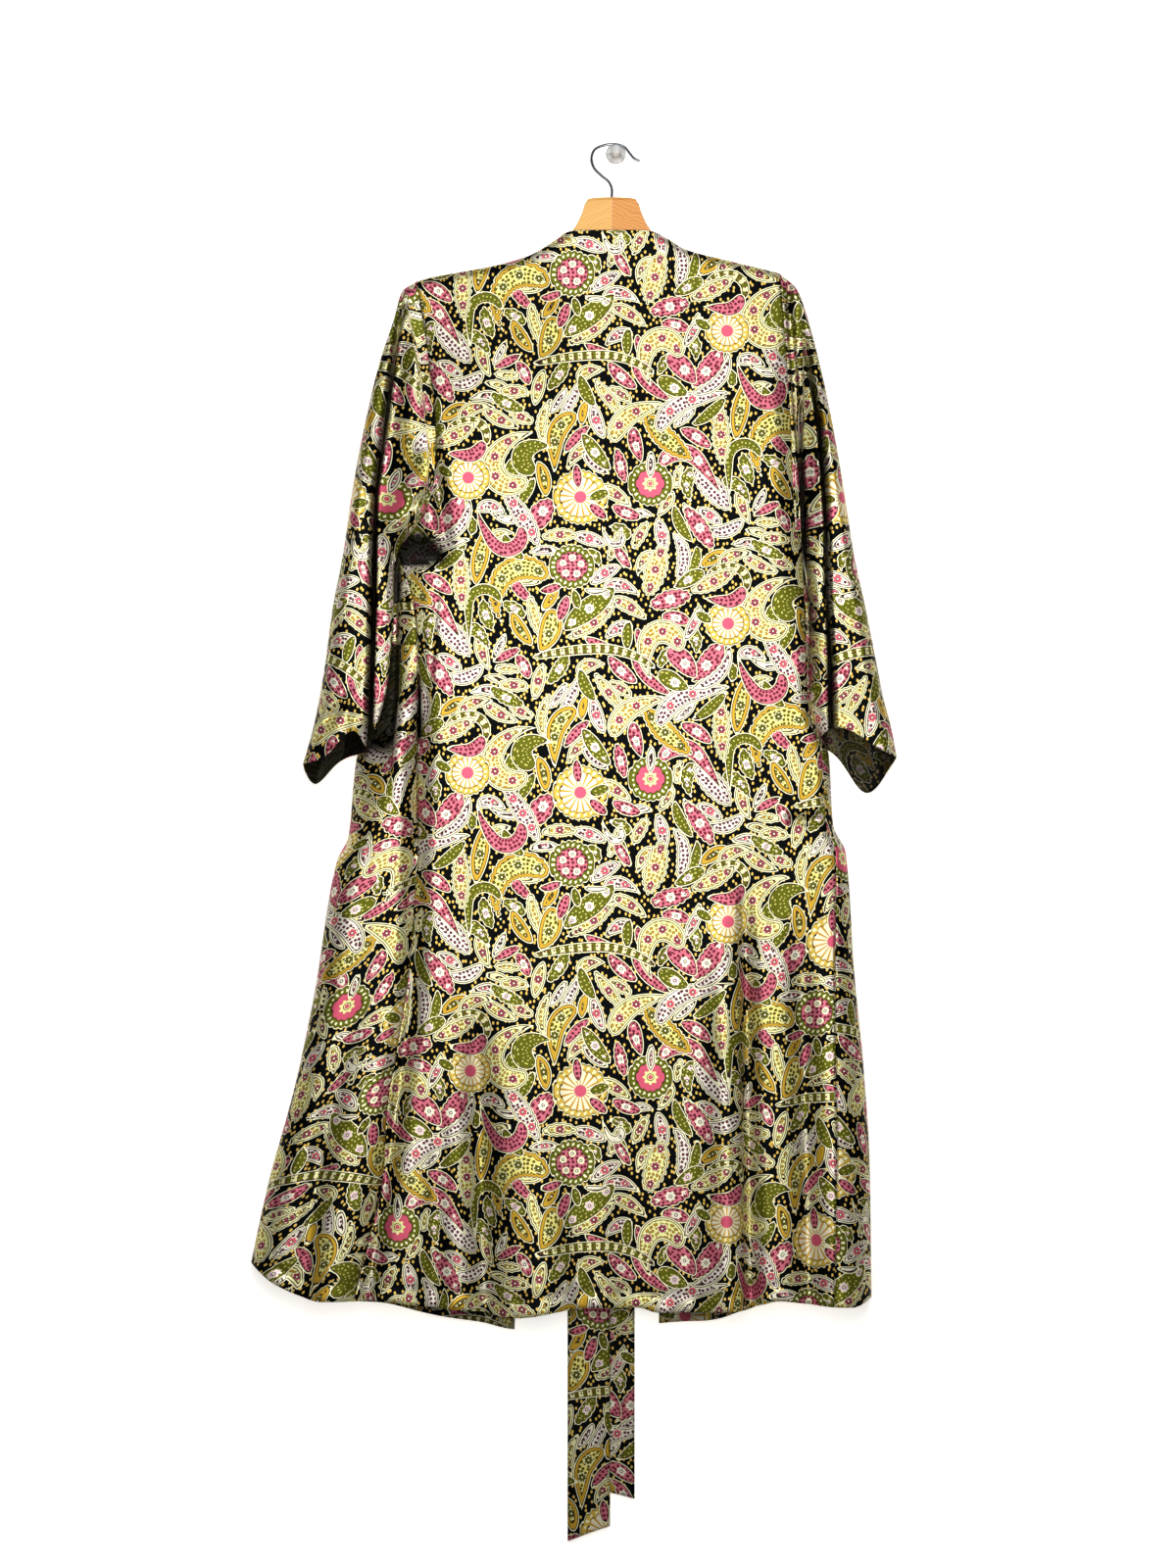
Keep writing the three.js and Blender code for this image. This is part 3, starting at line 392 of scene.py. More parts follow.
class Repeat:
    """The charted repeat, laid in columns of which every other one drops by half."""

    column: float = 305.0
    height: float = 350.0
    margin: Pair = (500.0, 700.0)    # how far past a sheet's corners copies are looked for
    verge: float = 3.0               # how far past its stroke a motif is looked for
    touches: float = 1.6             # a facet this near to a motif may show it
    covers: float = 0.4              # a facet this far within a motif's lobes shows none below it
    motifs: list[Motif] = [
        # on top: heads and the leaves that cover their stalks
        leaf(46, 300, 250, 34, 15, PINK), leaf(52, 306, 285, 24, 12, OLIVE),
        leaf(40, 312, 200, 30, 12, PINK, (0, -30)), leaf(62, 308, 330, 34, 9, WHITE, (30, 10)),
        disc(50, 334, 27, DOME, 2.0),
        leaf(138, 297, 70, 68, 30, CREAM, (6, -6), 2.4, 21),
        leaf(141, 286, 24, 52, 25, PINK, (-10, 0), 1.8, 18),
        drop(168, 308, 22, 40, 18, OLIVE, (10, -10), 0, 30),
        leaf(188, 303, 22, 62, 22, CREAM, (4, 8), 1.2, 18),
        comma(202, 296, -8, 56, 19, PINK, (0, 90)),
        plume(174, 316, 62, 66, 19, WHITE, (30, 50), 1.2),
        plume(180, 318, 40, 50, 14, OLIVE, (30, 30)),
        band(209, 322, 48, 70, 13, (-60, -110)),
        leaf(214, 268, 150, 22, 13, OLIVE),
        leaf(205, 284, 232, 46, 15, WHITE, (10, 0), 0, 16),
        leaf(200, 290, 262, 44, 13, CREAM, (-14, 0)),
        disc(233, 266, 26, FAN, 1.6),
        comma(318, 318, 172, 128, 30, CREAM, (70, 160), 0, 24),
        comma(334, 300, 150, 66, 26, OLIVE, (60, 150)),
        leaf(40, 258, 44, 80, 27, OLIVE, (-8, 10), 0, 26),
        leaf(42, 248, 22, 78, 19, CREAM, (16, 10), 1.2, 22),
        drop(12, 232, 58, 50, 28, MUSTARD, (10, 30), 0, 24),
        plume(2, 300, 270, 60, 17, CREAM, (20, 10), 1.0),
        band(4, 226, 14, 150, 13, (-12, -40)),
        comma(146, 196, 128, 104, 29, CREAM, (-60, -160), 0, 22),
        leaf(118, 270, 250, 36, 14, OLIVE, (20, 0)), leaf(126, 262, 285, 34, 13, PINK),
        leaf(104, 234, 168, 44, 14, PINK, (-10, -14)),
        drop(196, 202, 128, 44, 26, PINK, (0, 30), 0, 26),
        drop(190, 196, 50, 56, 27, PINK, (0, 10), 1.4, 26),
        plume(190, 190, 8, 76, 17, WHITE, (40, 50)),
        drop(188, 190, 168, 38, 22, OLIVE, (-20, 0), 0, 24),
        leaf(168, 182, 155, 68, 15, PINK, (-18, -18)),
        comma(246, 196, 196, 112, 25, WHITE, (-6, 66), 0, 30),
        leaf(232, 188, 232, 56, 15, OLIVE, (-10, -20)),
        comma(243, 236, 278, 108, 20, PINK, (30, 170)),
        leaf(254, 206, 262, 72, 22, MUSTARD, (-4, 8), 0, 22),
        leaf(318, 182, 116, 84, 24, WHITE, (6, 8), 1.2, 20),
        leaf(300, 168, 150, 42, 16, OLIVE, (-20, -30)),
        comma(252, 236, 300, 60, 12, WHITE, (40, 90)),
        comma(168, 180, 186, 88, 26, CREAM, (16, 60), 0, 26),
        leaf(192, 112, 146, 84, 28, MUSTARD, (-10, -16), 1.6, 24),
        drop(132, 108, 108, 42, 18, PINK, (0, -20), 0, 20),
        comma(30, 92, 92, 82, 25, MUSTARD, (-4, -70), 0, 22),
        leaf(58, 78, 96, 30, 13, PINK), leaf(70, 66, 20, 26, 14, OLIVE),
        leaf(70, 60, 320, 28, 14, PINK),
        disc(60, 68, 32, FAN, 2.0),
        leaf(142, 90, 88, 34, 12, WHITE, (0, 0), 0, 16),
        disc(142, 84, 26, ROSETTE, 1.8),
        comma(228, 66, 118, 108, 22, PINK, (10, 120), 0, 22),
        leaf(236, 52, 126, 66, 29, WHITE, (6, 6), 1.4, 0),
        leaf(228, 102, 98, 80, 24, CREAM, (-8, 4), 2.4, 20),
        comma(236, 58, 94, 110, 14, OLIVE, (-4, -170)),
        comma(276, 88, 128, 118, 34, MUSTARD, (-70, -110), 2.0, 24),
        leaf(216, 4, 118, 64, 23, PINK, (4, 8), 1.4, 22),
        plume(250, 42, 236, 50, 19, WHITE, (-40, -60)),
        leaf(262, 48, 62, 36, 12, WHITE, (0, 10)), leaf(262, 46, 26, 38, 13, PINK),
        leaf(262, 40, -12, 36, 14, CREAM, (10, 0), 1.0),
        leaf(113, 84, 110, 44, 17, PINK, (-10, 8), 1.0, 18),
        leaf(96, 100, 140, 56, 19, OLIVE, (-16, 0), 0, 20),
        leaf(94, 96, 158, 44, 14, WHITE, (-20, -20)),
        leaf(132, 44, 168, 38, 17, PINK, (-8, -20), 0, 20),
        leaf(140, 40, 236, 40, 17, CREAM, (6, 10), 1.2, 18),
        leaf(150, 44, 290, 44, 18, WHITE, (-10, 0), 0, 22),
        leaf(170, 60, 276, 52, 15, OLIVE, (20, 20)),
        leaf(180, 62, 300, 54, 18, WHITE, (10, 10), 1, 20),
        drop(26, 66, 236, 36, 30, PINK, (0, 0), 1.6, 24),
        comma(12, 110, 150, 56, 17, OLIVE, (60, 130)),
        plume(20, 130, 120, 60, 15, CREAM, (-40, -30), 1.0),
        comma(86, 40, 268, 56, 11, WHITE, (40, 200)),
        leaf(6, 176, 78, 46, 17, CREAM, (0, -12), 0, 20), leaf(22, 166, 40, 40, 13, WHITE, (20, 0)),
        leaf(60, 214, 275, 44, 16, OLIVE, (20, 20)),
        leaf(76, 210, 300, 60, 17, CREAM, (10, -10), 1, 22),
        plume(60, 206, 250, 66, 16, WHITE, (-10, 50), 1.0),
        leaf(292, 232, 60, 40, 14, OLIVE), leaf(286, 236, 110, 42, 15, WHITE, (10, 0), 0, 20),
        leaf(280, 150, 300, 46, 16, PINK, (10, 20), 1.0), leaf(278, 148, 335, 44, 15, CREAM, (20, 0)),
        leaf(120, 330, 130, 40, 14, PINK, (-10, 0), 0, 20), leaf(112, 330, 96, 34, 12, OLIVE),
        leaf(92, 340, 60, 44, 16, CREAM, (10, 0), 1.0, 20),
        leaf(150, 130, 60, 40, 12, WHITE, (20, 10)),
        leaf(98, 176, 330, 44, 15, MUSTARD, (10, 0), 0, 20),
    ]

    fillers: tuple[tuple[Shape, Dye], ...] = (
        (Shape.LEAF, OLIVE), (Shape.DROP, CREAM), (Shape.LEAF, WHITE), (Shape.COMMA, OLIVE),
        (Shape.LEAF, PINK), (Shape.COMMA, CREAM), (Shape.LEAF, CREAM), (Shape.COMMA, WHITE),
        (Shape.LEAF, MUSTARD),
    )
    grain: float = 3.0               # spacing of the grid on which gaps are looked for
    smallest_gap: float = 8.2
    sight: float = 30.0              # how far round a place motifs are looked for
    most_fillers: int = 120
    bearings = np.radians(np.arange(0, 180, 15))
    paces = np.arange(0, 26, 2.0)    # distances at which a filler's line is tried
    clearance: float = 3.0           # room that its line keeps
    side_room: float = 4.0           # how much narrower than its gap it is
    widest_filler: float = 18.0
    flowered_from: float = 14.0      # width from which a filler carries florets

    @classmethod
    def cell_index(cls, points: Array) -> tuple[Array, Array]:
        """Find where points of the endless cloth fall on the gap grid.

        Args:
            points: Flat places.

        Returns:
            Their rows and columns in the grid.
        """
        turns = np.floor(points[:, 0] / cls.column)
        x = points[:, 0] - turns * cls.column
        y = (points[:, 1] - np.where(turns % 2, cls.height / 2, 0.0)) % cls.height
        return (x / cls.grain).astype(int), (y / cls.grain).astype(int)

    @classmethod
    def take(cls, motif: Motif, points: Array, room: Array) -> None:
        """Take a motif's copies out of the room that is left.

        Args:
            motif: The motif.
            points: Places of the gap grid.
            room: How far each of them lies from the nearest motif, kept up to date.
        """
        for shift in cls.copies(motif, np.array([-cls.sight] * 2), points.max(axis=0) + cls.sight):
            spine = motif.spine() + shift
            reach = motif.width / 2 + cls.sight
            near = np.flatnonzero(np.all(points > spine.min(axis=0) - reach, axis=1)
                                  & np.all(points < spine.max(axis=0) + reach, axis=1))
            if len(near):
                room[near] = np.minimum(room[near], motif.measure(points[near], shift)[:, 2])

    @classmethod
    def longest_line(cls, middle: Array, room: Array) -> tuple[float, float, float]:
        """Find the longest free line through a place.

        Args:
            middle: The place.
            room: Room that is left, as a grid.

        Returns:
            The line's length, its angle, and how much of it lies behind the place.
        """
        longest = (0.0, 0.0, 0.0, 0.0)
        for angle in cls.bearings:
            reach = []
            for way in (1, -1):
                ray = middle + way * cls.paces[:, None] * np.array([np.cos(angle), np.sin(angle)])
                free = room[cls.cell_index(ray)] > cls.clearance
                reach.append(cls.paces[np.argmin(free)] if not free.all() else cls.paces[-1])
            longest = max(longest, (sum(reach), angle, reach[1], reach[0]))
        return longest[:3]

    @classmethod
    def fill_gaps(cls) -> None:
        """Grow small leaves, drops and commas in the gaps that the charted motifs leave."""
        xs = (np.arange(math.ceil(cls.column / cls.grain)) + 0.5) * cls.grain
        ys = (np.arange(math.ceil(cls.height / cls.grain)) + 0.5) * cls.grain
        points = np.stack(np.meshgrid(xs, ys, indexing="ij"), axis=-1).reshape(-1, 2)
        room = np.full(len(points), cls.sight)
        for motif in cls.motifs:
            cls.take(motif, points, room)
        for k in range(cls.most_fillers):
            best = int(room.argmax())
            if room[best] < cls.smallest_gap:
                break
            shape, dye = cls.fillers[k % len(cls.fillers)]
            length, angle, behind = cls.longest_line(points[best], room.reshape(len(xs), len(ys)))
            foot = points[best] - behind * np.array([np.cos(angle), np.sin(angle)])
            width = min(2 * room[best] - cls.side_room, cls.widest_filler)
            bend = (12, 18) if k % 2 else (-12, -18)
            if shape is Shape.COMMA:
                bend = (bend[0] * 2, bend[1] * 3)
            motif = Motif(*foot, math.degrees(angle), max(length, width), width, bend, shape, dye,
                          1.2 if k % 3 == 0 else 0.0, 18.0 if width > cls.flowered_from else 0.0)
            cls.motifs.append(motif)
            cls.take(motif, points, room)

    @classmethod
    def copies(cls, motif: Motif, low: Array, high: Array) -> list[Array]:
        """Shifts that bring a motif onto the cloth between two corners.

        Args:
            motif: The motif.
            low: Lowest corner of the flat cloth.
            high: Highest corner of it.

        Returns:
            One shift for each copy.
        """
        spine = motif.spine()
        reach = motif.width / 2 + cls.verge
        wide, tall = cls.margin
        shifts = []
        for i in range(math.floor((low[0] - wide) / cls.column), math.ceil((high[0] + wide) / cls.column)):
            offset = cls.height / 2 if i % 2 else 0.0
            first, last = (low[1] - tall) / cls.height, (high[1] + tall) / cls.height
            for j in range(math.floor(first), math.ceil(last)):
                shift = np.array([i * cls.column, j * cls.height + offset])
                if np.all(spine.max(axis=0) + shift + reach > low) and np.all(
                        spine.min(axis=0) + shift - reach < high):
                    shifts.append(shift)
        return shifts

    @classmethod
    def lay(cls, corners: Array) -> tuple[Array, Array]:
        """Find the motifs that each facet of a sheet shows.

        Args:
            corners: Flat places of each facet's four corners.

        Returns:
            For each slot and corner the place on the motif, and for each slot and facet its dye.
        """
        count = len(corners)
        place = np.zeros((SLOTS, count, 4, 3))
        place[..., 2] = FAR_OUTSIDE
        dye = np.zeros((SLOTS, count, 3))
        used = np.zeros(count, int)
        low = corners.min(axis=1)
        high = corners.max(axis=1)
        for motif in cls.motifs:
            spine = motif.spine()
            reach = motif.width / 2 + cls.verge
            for shift in cls.copies(motif, low.min(axis=0), high.max(axis=0)):
                near = np.flatnonzero(
                    (used < SLOTS)
                    & np.all(high > spine.min(axis=0) + shift - reach, axis=1)
                    & np.all(low < spine.max(axis=0) + shift + reach, axis=1))
                if not len(near):
                    continue
                found = motif.measure(corners[near].reshape(-1, 2), shift).reshape(-1, 4, 3)
                touched = found[..., 2].min(axis=1) < cls.touches
                near = near[touched]
                found = found[touched]
                place[used[near], near] = found
                dye[used[near], near] = (motif.dye.value, motif.wave, motif.floret)
                used[near] += 1
                used[near[found[..., 2].max(axis=1) < -motif.wave - cls.covers]] = SLOTS
        return place, dye


# ---- sheets of cloth -------------------------------------------------------------------------
def add_layer(mesh: bpy.types.Mesh, name: str, kind: str, domain: str, values: Array) -> None:
    """Add a layer of values to a mesh, in the order of what they lie on."""
    layer = mesh.attributes.new(name, kind, domain)
    layer.data.foreach_set("vector" if kind == "FLOAT_VECTOR" else "value", values.ravel())


@dataclass
class Sheet:
    """A cut piece of cloth as a grid of points, with its places on the flat cloth."""

    name: str
    points: Array
    flat: Array
    outward: int
    ring: bool = False
    wall: float = 0.9
    phase: Pair = (0.0, 0.0)
    deep: Number = 0.0           # how far each point lies down a fold, which sets its painted shade
    inside: float = 0.85         # how far the wrong side is darkened, by its duller colour and painted shade; none on folded ties

    def facets(self) -> tuple[Array, Array]:
        """Divide the grid into four-cornered facets.

        Returns:
            For each facet the numbers of its corner points, and their flat places.
        """
        rows, columns = self.points.shape[:2]
        spans = columns if self.ring else columns - 1
        i, j = np.meshgrid(np.arange(rows - 1), np.arange(spans), indexing="ij")

        def corners(width: int, after: Array) -> Array:
            """Numbers of the corners in a grid of this width."""
            return np.stack([i * width + j, (i + 1) * width + j, (i + 1) * width + after,
                             i * width + after], axis=-1).reshape(-1, 4)[:, ::self.outward]

        places = corners(self.flat.shape[1], j + 1)
        return corners(columns, (j + 1) % columns), self.flat.reshape(-1, 2)[places] + np.array(self.phase)

    def build(self) -> bpy.types.Object:
        """Make the sheet's mesh as a thin wall, with its print laid on it.

        Returns:
            The finished object.
        """
        quads, corners = self.facets()
        count = self.points.shape[0] * self.points.shape[1]
        mesh = bpy.data.meshes.new(self.name)
        mesh.vertices.add(count)
        mesh.vertices.foreach_set("co", (self.points * MM).ravel())
        mesh.loops.add(quads.size)
        mesh.loops.foreach_set("vertex_index", quads.ravel().astype(np.int32))
        mesh.polygons.add(len(quads))
        mesh.polygons.foreach_set("loop_start", np.arange(0, quads.size, 4, dtype=np.int32))
        mesh.update(calc_edges=True)
        lay_print(mesh, corners)
        deep = np.broadcast_to(self.deep, self.points.shape[:2])
        # painted shade at the foot of deep folds, growing with their depth
        add_layer(mesh, "deep", "FLOAT", "POINT", ease((deep - PAINTED_SHADE_FROM) / PAINTED_SHADE_OVER))
        sheet = bpy.data.objects.new(self.name, mesh)
        bpy.context.collection.objects.link(sheet)
        bpy.ops.object.select_all(action="DESELECT")
        sheet.select_set(True)
        bpy.context.view_layer.objects.active = sheet
        wall = sheet.modifiers.new("wall", "SOLIDIFY")
        wall.thickness = self.wall * MM
        wall.offset = 0.0
        bpy.ops.object.modifier_apply(modifier=wall.name)
        faces = len(sheet.data.polygons)
        # the wrong side darkened, partly its duller colour and partly painted shade
        inside = np.zeros(faces)
        inside[len(quads):2 * len(quads)] = self.inside
        add_layer(sheet.data, "wrong_side_and_shade", "FLOAT", "FACE", inside)
        sheet.data.polygons.foreach_set("use_smooth", np.ones(faces, bool))
        sheet.data.update()
        return sheet


def evened(lengths: Array, rows: int = 40) -> Array:
    """Even out lengths down the rows, as woven cloth cannot shear from one row to the next.

    Args:
        lengths: Lengths along each row.
        rows: Rows either way over which they are evened.

    Returns:
        The evened lengths.
    """
    weights = np.exp(-(np.arange(-rows, rows + 1) / (0.5 * rows)) ** 2)
    padded = np.pad(lengths, ((rows, rows), (0, 0)), mode="edge")
    total = sum(weight * padded[k:k + len(lengths)] for k, weight in enumerate(weights))
    return total / weights.sum()


def flattened(points: Array, column: int) -> Array:
    """Unroll a hanging sheet: across by its own length from one column, down by its fall.

    Args:
        points: Grid of points.
        column: Column from which each row is measured.

    Returns:
        Flat places of the grid.
    """
    step = np.diff(points, axis=1)
    across = np.zeros(points.shape[:2])
    across[:, 1:] = np.cumsum(np.hypot(step[..., 0], step[..., 1]), axis=1)
    across += (points[:, column, 0] - across[:, column])[:, None]
    across = points[..., 0] + evened(across - points[..., 0])
    fall = np.diff(points, axis=0)
    extra = np.zeros(points.shape[:2])
    extra[1:] = np.cumsum(np.hypot(fall[..., 2], fall[..., 1]) + fall[..., 2], axis=0)
    return np.stack([across, points[..., 2] - extra.mean(axis=1, keepdims=True)], axis=-1)


def grid_normals(points: Array, outward: int) -> Array:
    """Unit normals of a grid of points, from its outward side."""
    normal = np.cross(np.gradient(points, axis=0), np.gradient(points, axis=1)) * outward
    return normal / np.maximum(np.linalg.norm(normal, axis=2, keepdims=True), 1e-9)


# ---- the body's sections ---------------------------------------------------------------------
class Layer(Enum):
    """Which of the body's two layers a section is of."""

    OUTER = -1
    INNER = 1


class Side(Enum):
    """The wearer's left, towards -X, or right."""

    LEFT = -1
    RIGHT = 1


@dataclass(frozen=True)
class Row:
    """A row of the body: between shoulder and underarm, or between there and the hem."""

    upper: bool
    at: float


@dataclass
class Body:
    """Sections of the gown's body from the shoulders to the hem."""

    underarm: float = -471.0
    crown_half: float = 8.8
    crown_drop: float = 11.0
    hanger_y: float = -25.0
    hanger_bow: float = 5.0
    hanger_reach: float = 204.0
    neck_x: float = -5.0
    neck: ClassVar[dict[Side, float]] = {Side.LEFT: -68.0, Side.RIGHT: 58.0}
    neck_turn: float = 14.0
    settles: float = 200.0       # fall over which the hanger's form gives way to the hanging one
    hanging_fall: float = 500.0  # taken as the fall of every row below the underarm
    layers_apart: float = 5.0
    inner_turn: float = 14.0
    hem_width: float = 19.0
    stitch_spread: float = 4.5
    steps: int = 700

    top: ClassVar[Curve] = Curve(*zip(*[
        (-262, -176), (-235, -154), (-194, -145), (-148, -137), (-102, -124), (-79, -111), (-56, -97),
        (-42, -95), (31, -95), (44, -97), (60, -104), (82, -117), (128, -129), (174, -140), (193, -145),
        (222, -168),
    ]))
    hem: ClassVar[dict[str, Curve]] = curves([
        (-429, -1309, 0), (-396, -1334, 2), (-344, -1352, 4), (-281, -1352, 8), (-229, -1358, 13),
        (-160, -1365, 18), (-120, -1371, 21), (-33, -1360, 22), (24, -1360, 22), (50, -1366, 19),
        (122, -1364, 14), (151, -1362, 8), (191, -1352, 5), (231, -1357, 5), (277, -1359, 3),
        (300, -1350, 0),
    ], "z drop")
    armhole: ClassVar[dict[Side, dict[str, Curve]]] = {
        Side.LEFT: curves([
            (0, -235, -243, 8, 9), (0.35, -219, -229, 10, 14), (0.6, -212, -225, 12, 20),
            (0.75, -214, -231, 11, 26), (0.85, -223, -240, 8, 32), (0.93, -237, -250, 4, 38),
            (1, -259, -259, 0, 45),
        ], "seam edge wrap soft"),
        Side.RIGHT: curves([
            (0, 193, 201, 8, 9), (0.35, 202, 209, 8, 13), (0.6, 206, 213, 8, 15),
            (0.8, 208, 215, 7, 16), (0.93, 211, 217, 3, 16), (1, 219, 219, 0, 16),
        ], "seam edge wrap soft"),
    }
    side: ClassVar[dict[Side, dict[str, Curve]]] = {
        Side.LEFT: curves([
            (-471, -259, 0, 45), (-510, -264, 20, 50), (-540, -268, 32, 55), (-621, -281, 50, 60),
            (-713, -307, 74, 60), (-793, -315, 82, 34), (-822, -329, 96, 32), (-966, -354, 108, 30),
            (-1081, -378, 112, 30), (-1196, -407, 130, 30), (-1311, -429, 122, 30),
        ], "edge seam soft"),
        Side.RIGHT: curves([
            (-471, 219, 0, 16), (-540, 226, 5, 16), (-640, 229, 5, 16), (-679, 237, 7, 16),
            (-713, 250, 9, 16), (-793, 255, 9, 18), (-826, 270, 13, 20), (-966, 280, 24, 24),
            (-1081, 291, 34, 26), (-1196, 298, 40, 28), (-1352, 300, 46, 28),
        ], "edge seam soft"),
    }
    foot: ClassVar[dict[Side, float]] = {Side.LEFT: -1311.0, Side.RIGHT: -1352.0}
    depth: ClassVar[dict[str, Curve]] = curves([
        (-95, -34, -16, -22, -24), (-300, -48, -15, -24, -28), (-471, -57, -14, -31, -34),
        (-600, -60, -14, -20, -36), (-713, -62, -14, -21, -36), (-860, -62, -14, -30, -36),
        (-1100, -64, -14, -34, -36), (-1380, -70, -16, -38, -38),
    ], "outer inner left right")

    arch: ClassVar[Hollow] = Hollow(
        lip=((-268, -486), (-264, -464), (-256, -453), (-244, -447), (-230, -446), (-216, -452), (-205, -468),
             (-200, -484)),
        sill=((-268, -486), (-264, -491), (-240, -491), (-222, -489), (-208, -487), (-200, -484)),
        depth=22)
    slit: ClassVar[Crease] = crease(3.5, 24, (-233, -618, 0), (-232, -636, 1), (-231, -690, 1),
                                    (-230, -704, 0), form=Form.SHARP)
    shelf: ClassVar[Crease] = crease(-6, 34, (-254, -474, 0), (-254, -486, 1), (-254, -600, 1),
                                     (-256, -650, 1), (-259, -690, 0.8), (-266, -740, 0), form=Form.STEP)
    # folds whose foot gets painted shade; the arch counts deeper, so most of it is painted dark
    painted_shade_folds: ClassVar[list[Crease | Hollow]] = [replace(arch, depth=60), shelf, slit]
    creases: ClassVar[dict[Layer, list[Crease | Hollow]]] = {
        Layer.OUTER: [
            crease(16, 13, (-166, -1000, 0), (-160, -1120, 1), (-152, -1400, 1)),
            crease(42, -9, (-100, -880, 0), (-92, -1400, 1)),
            crease(34, 8, (20, -1080, 0), (28, -1400, 1)),
            crease(20, -9, (122, -880, 0), (128, -1040, 1), (131, -1400, 1)),
            crease(11, 20, (143, -860, 0), (146, -1000, 0.8), (151, -1400, 1), form=Form.PLEAT),
            crease(13, 11, (214, -900, 0), (220, -1040, 1), (226, -1400, 1)),
            crease(11, 12, (-229, -540, 0), (-231, -700, 1), (-240, -1000, 1), (-262, -1160, 1),
                   (-300, -1400, 0.8)),
            crease(30, -8, (-258, -860, 0), (-350, -1400, 1)),
            crease(14, 6, (-60, -1160, 0), (-40, -1400, 1)),
            crease(18, 6, (74, -1080, 0), (82, -1400, 1)),
            crease(18, -6, (250, -960, 0), (262, -1400, 1)),
            crease(14, 8, (-205, -1060, 0), (-214, -1400, 1)),
            crease(12, 7, (-300, -1000, 0), (-345, -1180, 1), (-372, -1400, 1)),
            crease(7, 12, (-228, -185, 0.3), (-224, -280, 0.9), (-219, -337, 1), (-209, -400, 1),
                   (-201, -460, 0.5), (-202, -500, 0)),
            crease(10, 6, (196, -180, 0.3), (203, -300, 1), (206, -430, 0.8), (214, -560, 0)),
            crease(2.5, 3, (-206, -490, 0), (-211, -540, 1), (-217, -622, 1), (-234, -700, 1),
                   (-235, -817, 1), (-245, -937, 1), (-267, -1088, 1), (-275, -1183, 1), (-292, -1254, 1),
                   (-308, -1322, 1), (-312, -1360, 1), form=Form.SHARP),
            crease(26, 3, (60, -180, 0), (40, -300, 1), (20, -520, 0)),
            crease(30, 3, (-110, -190, 0), (-90, -330, 1), (-60, -560, 0)),
            arch,
            slit,
            crease(5, -4, (-240, -618, 0), (-238, -650, 1), (-237, -704, 0)),
            Hollow(lip=((200, -784), (226, -783), (254, -781)), sill=((200, -792), (226, -793), (254, -791)),
                   depth=30, brink=3),
            shelf,
        ],
        Layer.INNER: [
            crease(34, -12, (-180, -760, 0), (-200, -1400, 1)),
            crease(28, -10, (-290, -960, 0), (-330, -1400, 1)),
            crease(22, -14, (100, -760, 0), (110, -1400, 1)),
            crease(24, -13, (190, -820, 0), (205, -1400, 1)),
        ],
    }

    def hanger(self, x: Number) -> Array:
        """Middle plane of the hanger at x."""
        reach = np.clip(np.abs(x - self.neck_x) / self.hanger_reach, 0, 1)
        return self.hanger_y + self.hanger_bow * reach**2

    def height(self, row: Row, x: Array, layer: Layer) -> Array:
        """Height of a row.

        Args:
            row: The row.
            x: Places across.
            layer: The layer.

        Returns:
            A height for each place.
        """
        if row.upper:
            return mix(self.top(x), self.underarm, row.at)
        drop = self.hem["drop"](x) if layer is Layer.INNER else 0.0
        return mix(self.underarm, self.hem["z"](x) - drop, row.at)

    def hem_stitch(self, row: Row, x: Array, z: Array) -> Array:
        """Depth of the puckered line along which the hem is sewn.

        Args:
            row: The row.
            x: Places across.
            z: Their heights.

        Returns:
            A depth for each place.
        """
        if row.upper:
            return np.zeros(np.shape(x))
        line = z - self.hem["z"](x) - self.hem_width
        pucker = 1.6 + np.sin(x / 6.3) + 0.7 * np.sin(x / 3.7 + 1)
        return np.exp(-(line / self.stitch_spread) ** 2) * pucker

    def edge(self, row: Row, side: Side) -> dict[str, float]:
        """Find where a row ends at one side.

        Args:
            row: The row.
            side: The side.

        Returns:
            Its edge, the seam's distance from it, the front's wrap round it, and its softness.
        """
        if row.upper:
            value = {name: float(curve(row.at)) for name, curve in self.armhole[side].items()}
            value["seam"] = abs(value["seam"] - value["edge"])
            return value
        z = mix(self.underarm, self.foot[side], row.at)
        value = {name: float(curve(z)) for name, curve in self.side[side].items()}
        value["wrap"] = -value["seam"]
        return value

    def line(self, row: Row, layer: Layer, x: Array, creased: bool = True) -> Array:
        """Points of a row of one layer.

        Args:
            row: The row.
            layer: The layer.
            x: Places across.
            creased: Whether its creases are pressed in.

        Returns:
            A point for each place.
        """
        z = self.height(row, x, layer)
        fall = self.top(x) - z if row.upper else np.full(np.shape(x), self.hanging_fall)
        opened = ease(np.minimum(x - self.neck[Side.LEFT], self.neck[Side.RIGHT] - x) / self.neck_turn)
        crown = quarter_round(fall / self.crown_drop)
        if layer is Layer.OUTER:
            crown = np.maximum(crown, opened)
        over = self.hanger(x) + layer.value * self.crown_half * crown
        hanging = self.depth[layer.name.lower()](z) + self.hem_stitch(row, x, z)
        if creased:
            hanging = hanging + relief(self.creases[layer], x, z)
        if layer is Layer.OUTER:
            hanging = np.minimum(hanging, self.depth["inner"](z) - self.layers_apart)
        settle = ease(fall / self.settles)
        y = mix(over, hanging, settle)
        for side in Side:
            value = self.edge(row, side)
            reach = value["soft"] if layer is Layer.OUTER else self.inner_turn
            turn = mix(self.hanger(x), self.depth[side.name.lower()](z), settle)
            y = mix(turn, y, quarter_round(np.abs(x - value["edge"]) / reach))
        return np.stack([x, y, z], axis=1)

    def run(self, row: Row, layer: Layer, start: float, end: float, creased: bool = True) -> Array:
        """Points along a row between two places, closer together near its ends."""
        t = (1 - np.cos(np.pi * np.arange(self.steps + 1) / self.steps)) / 2
        return self.line(row, layer, mix(start, end, t), creased)


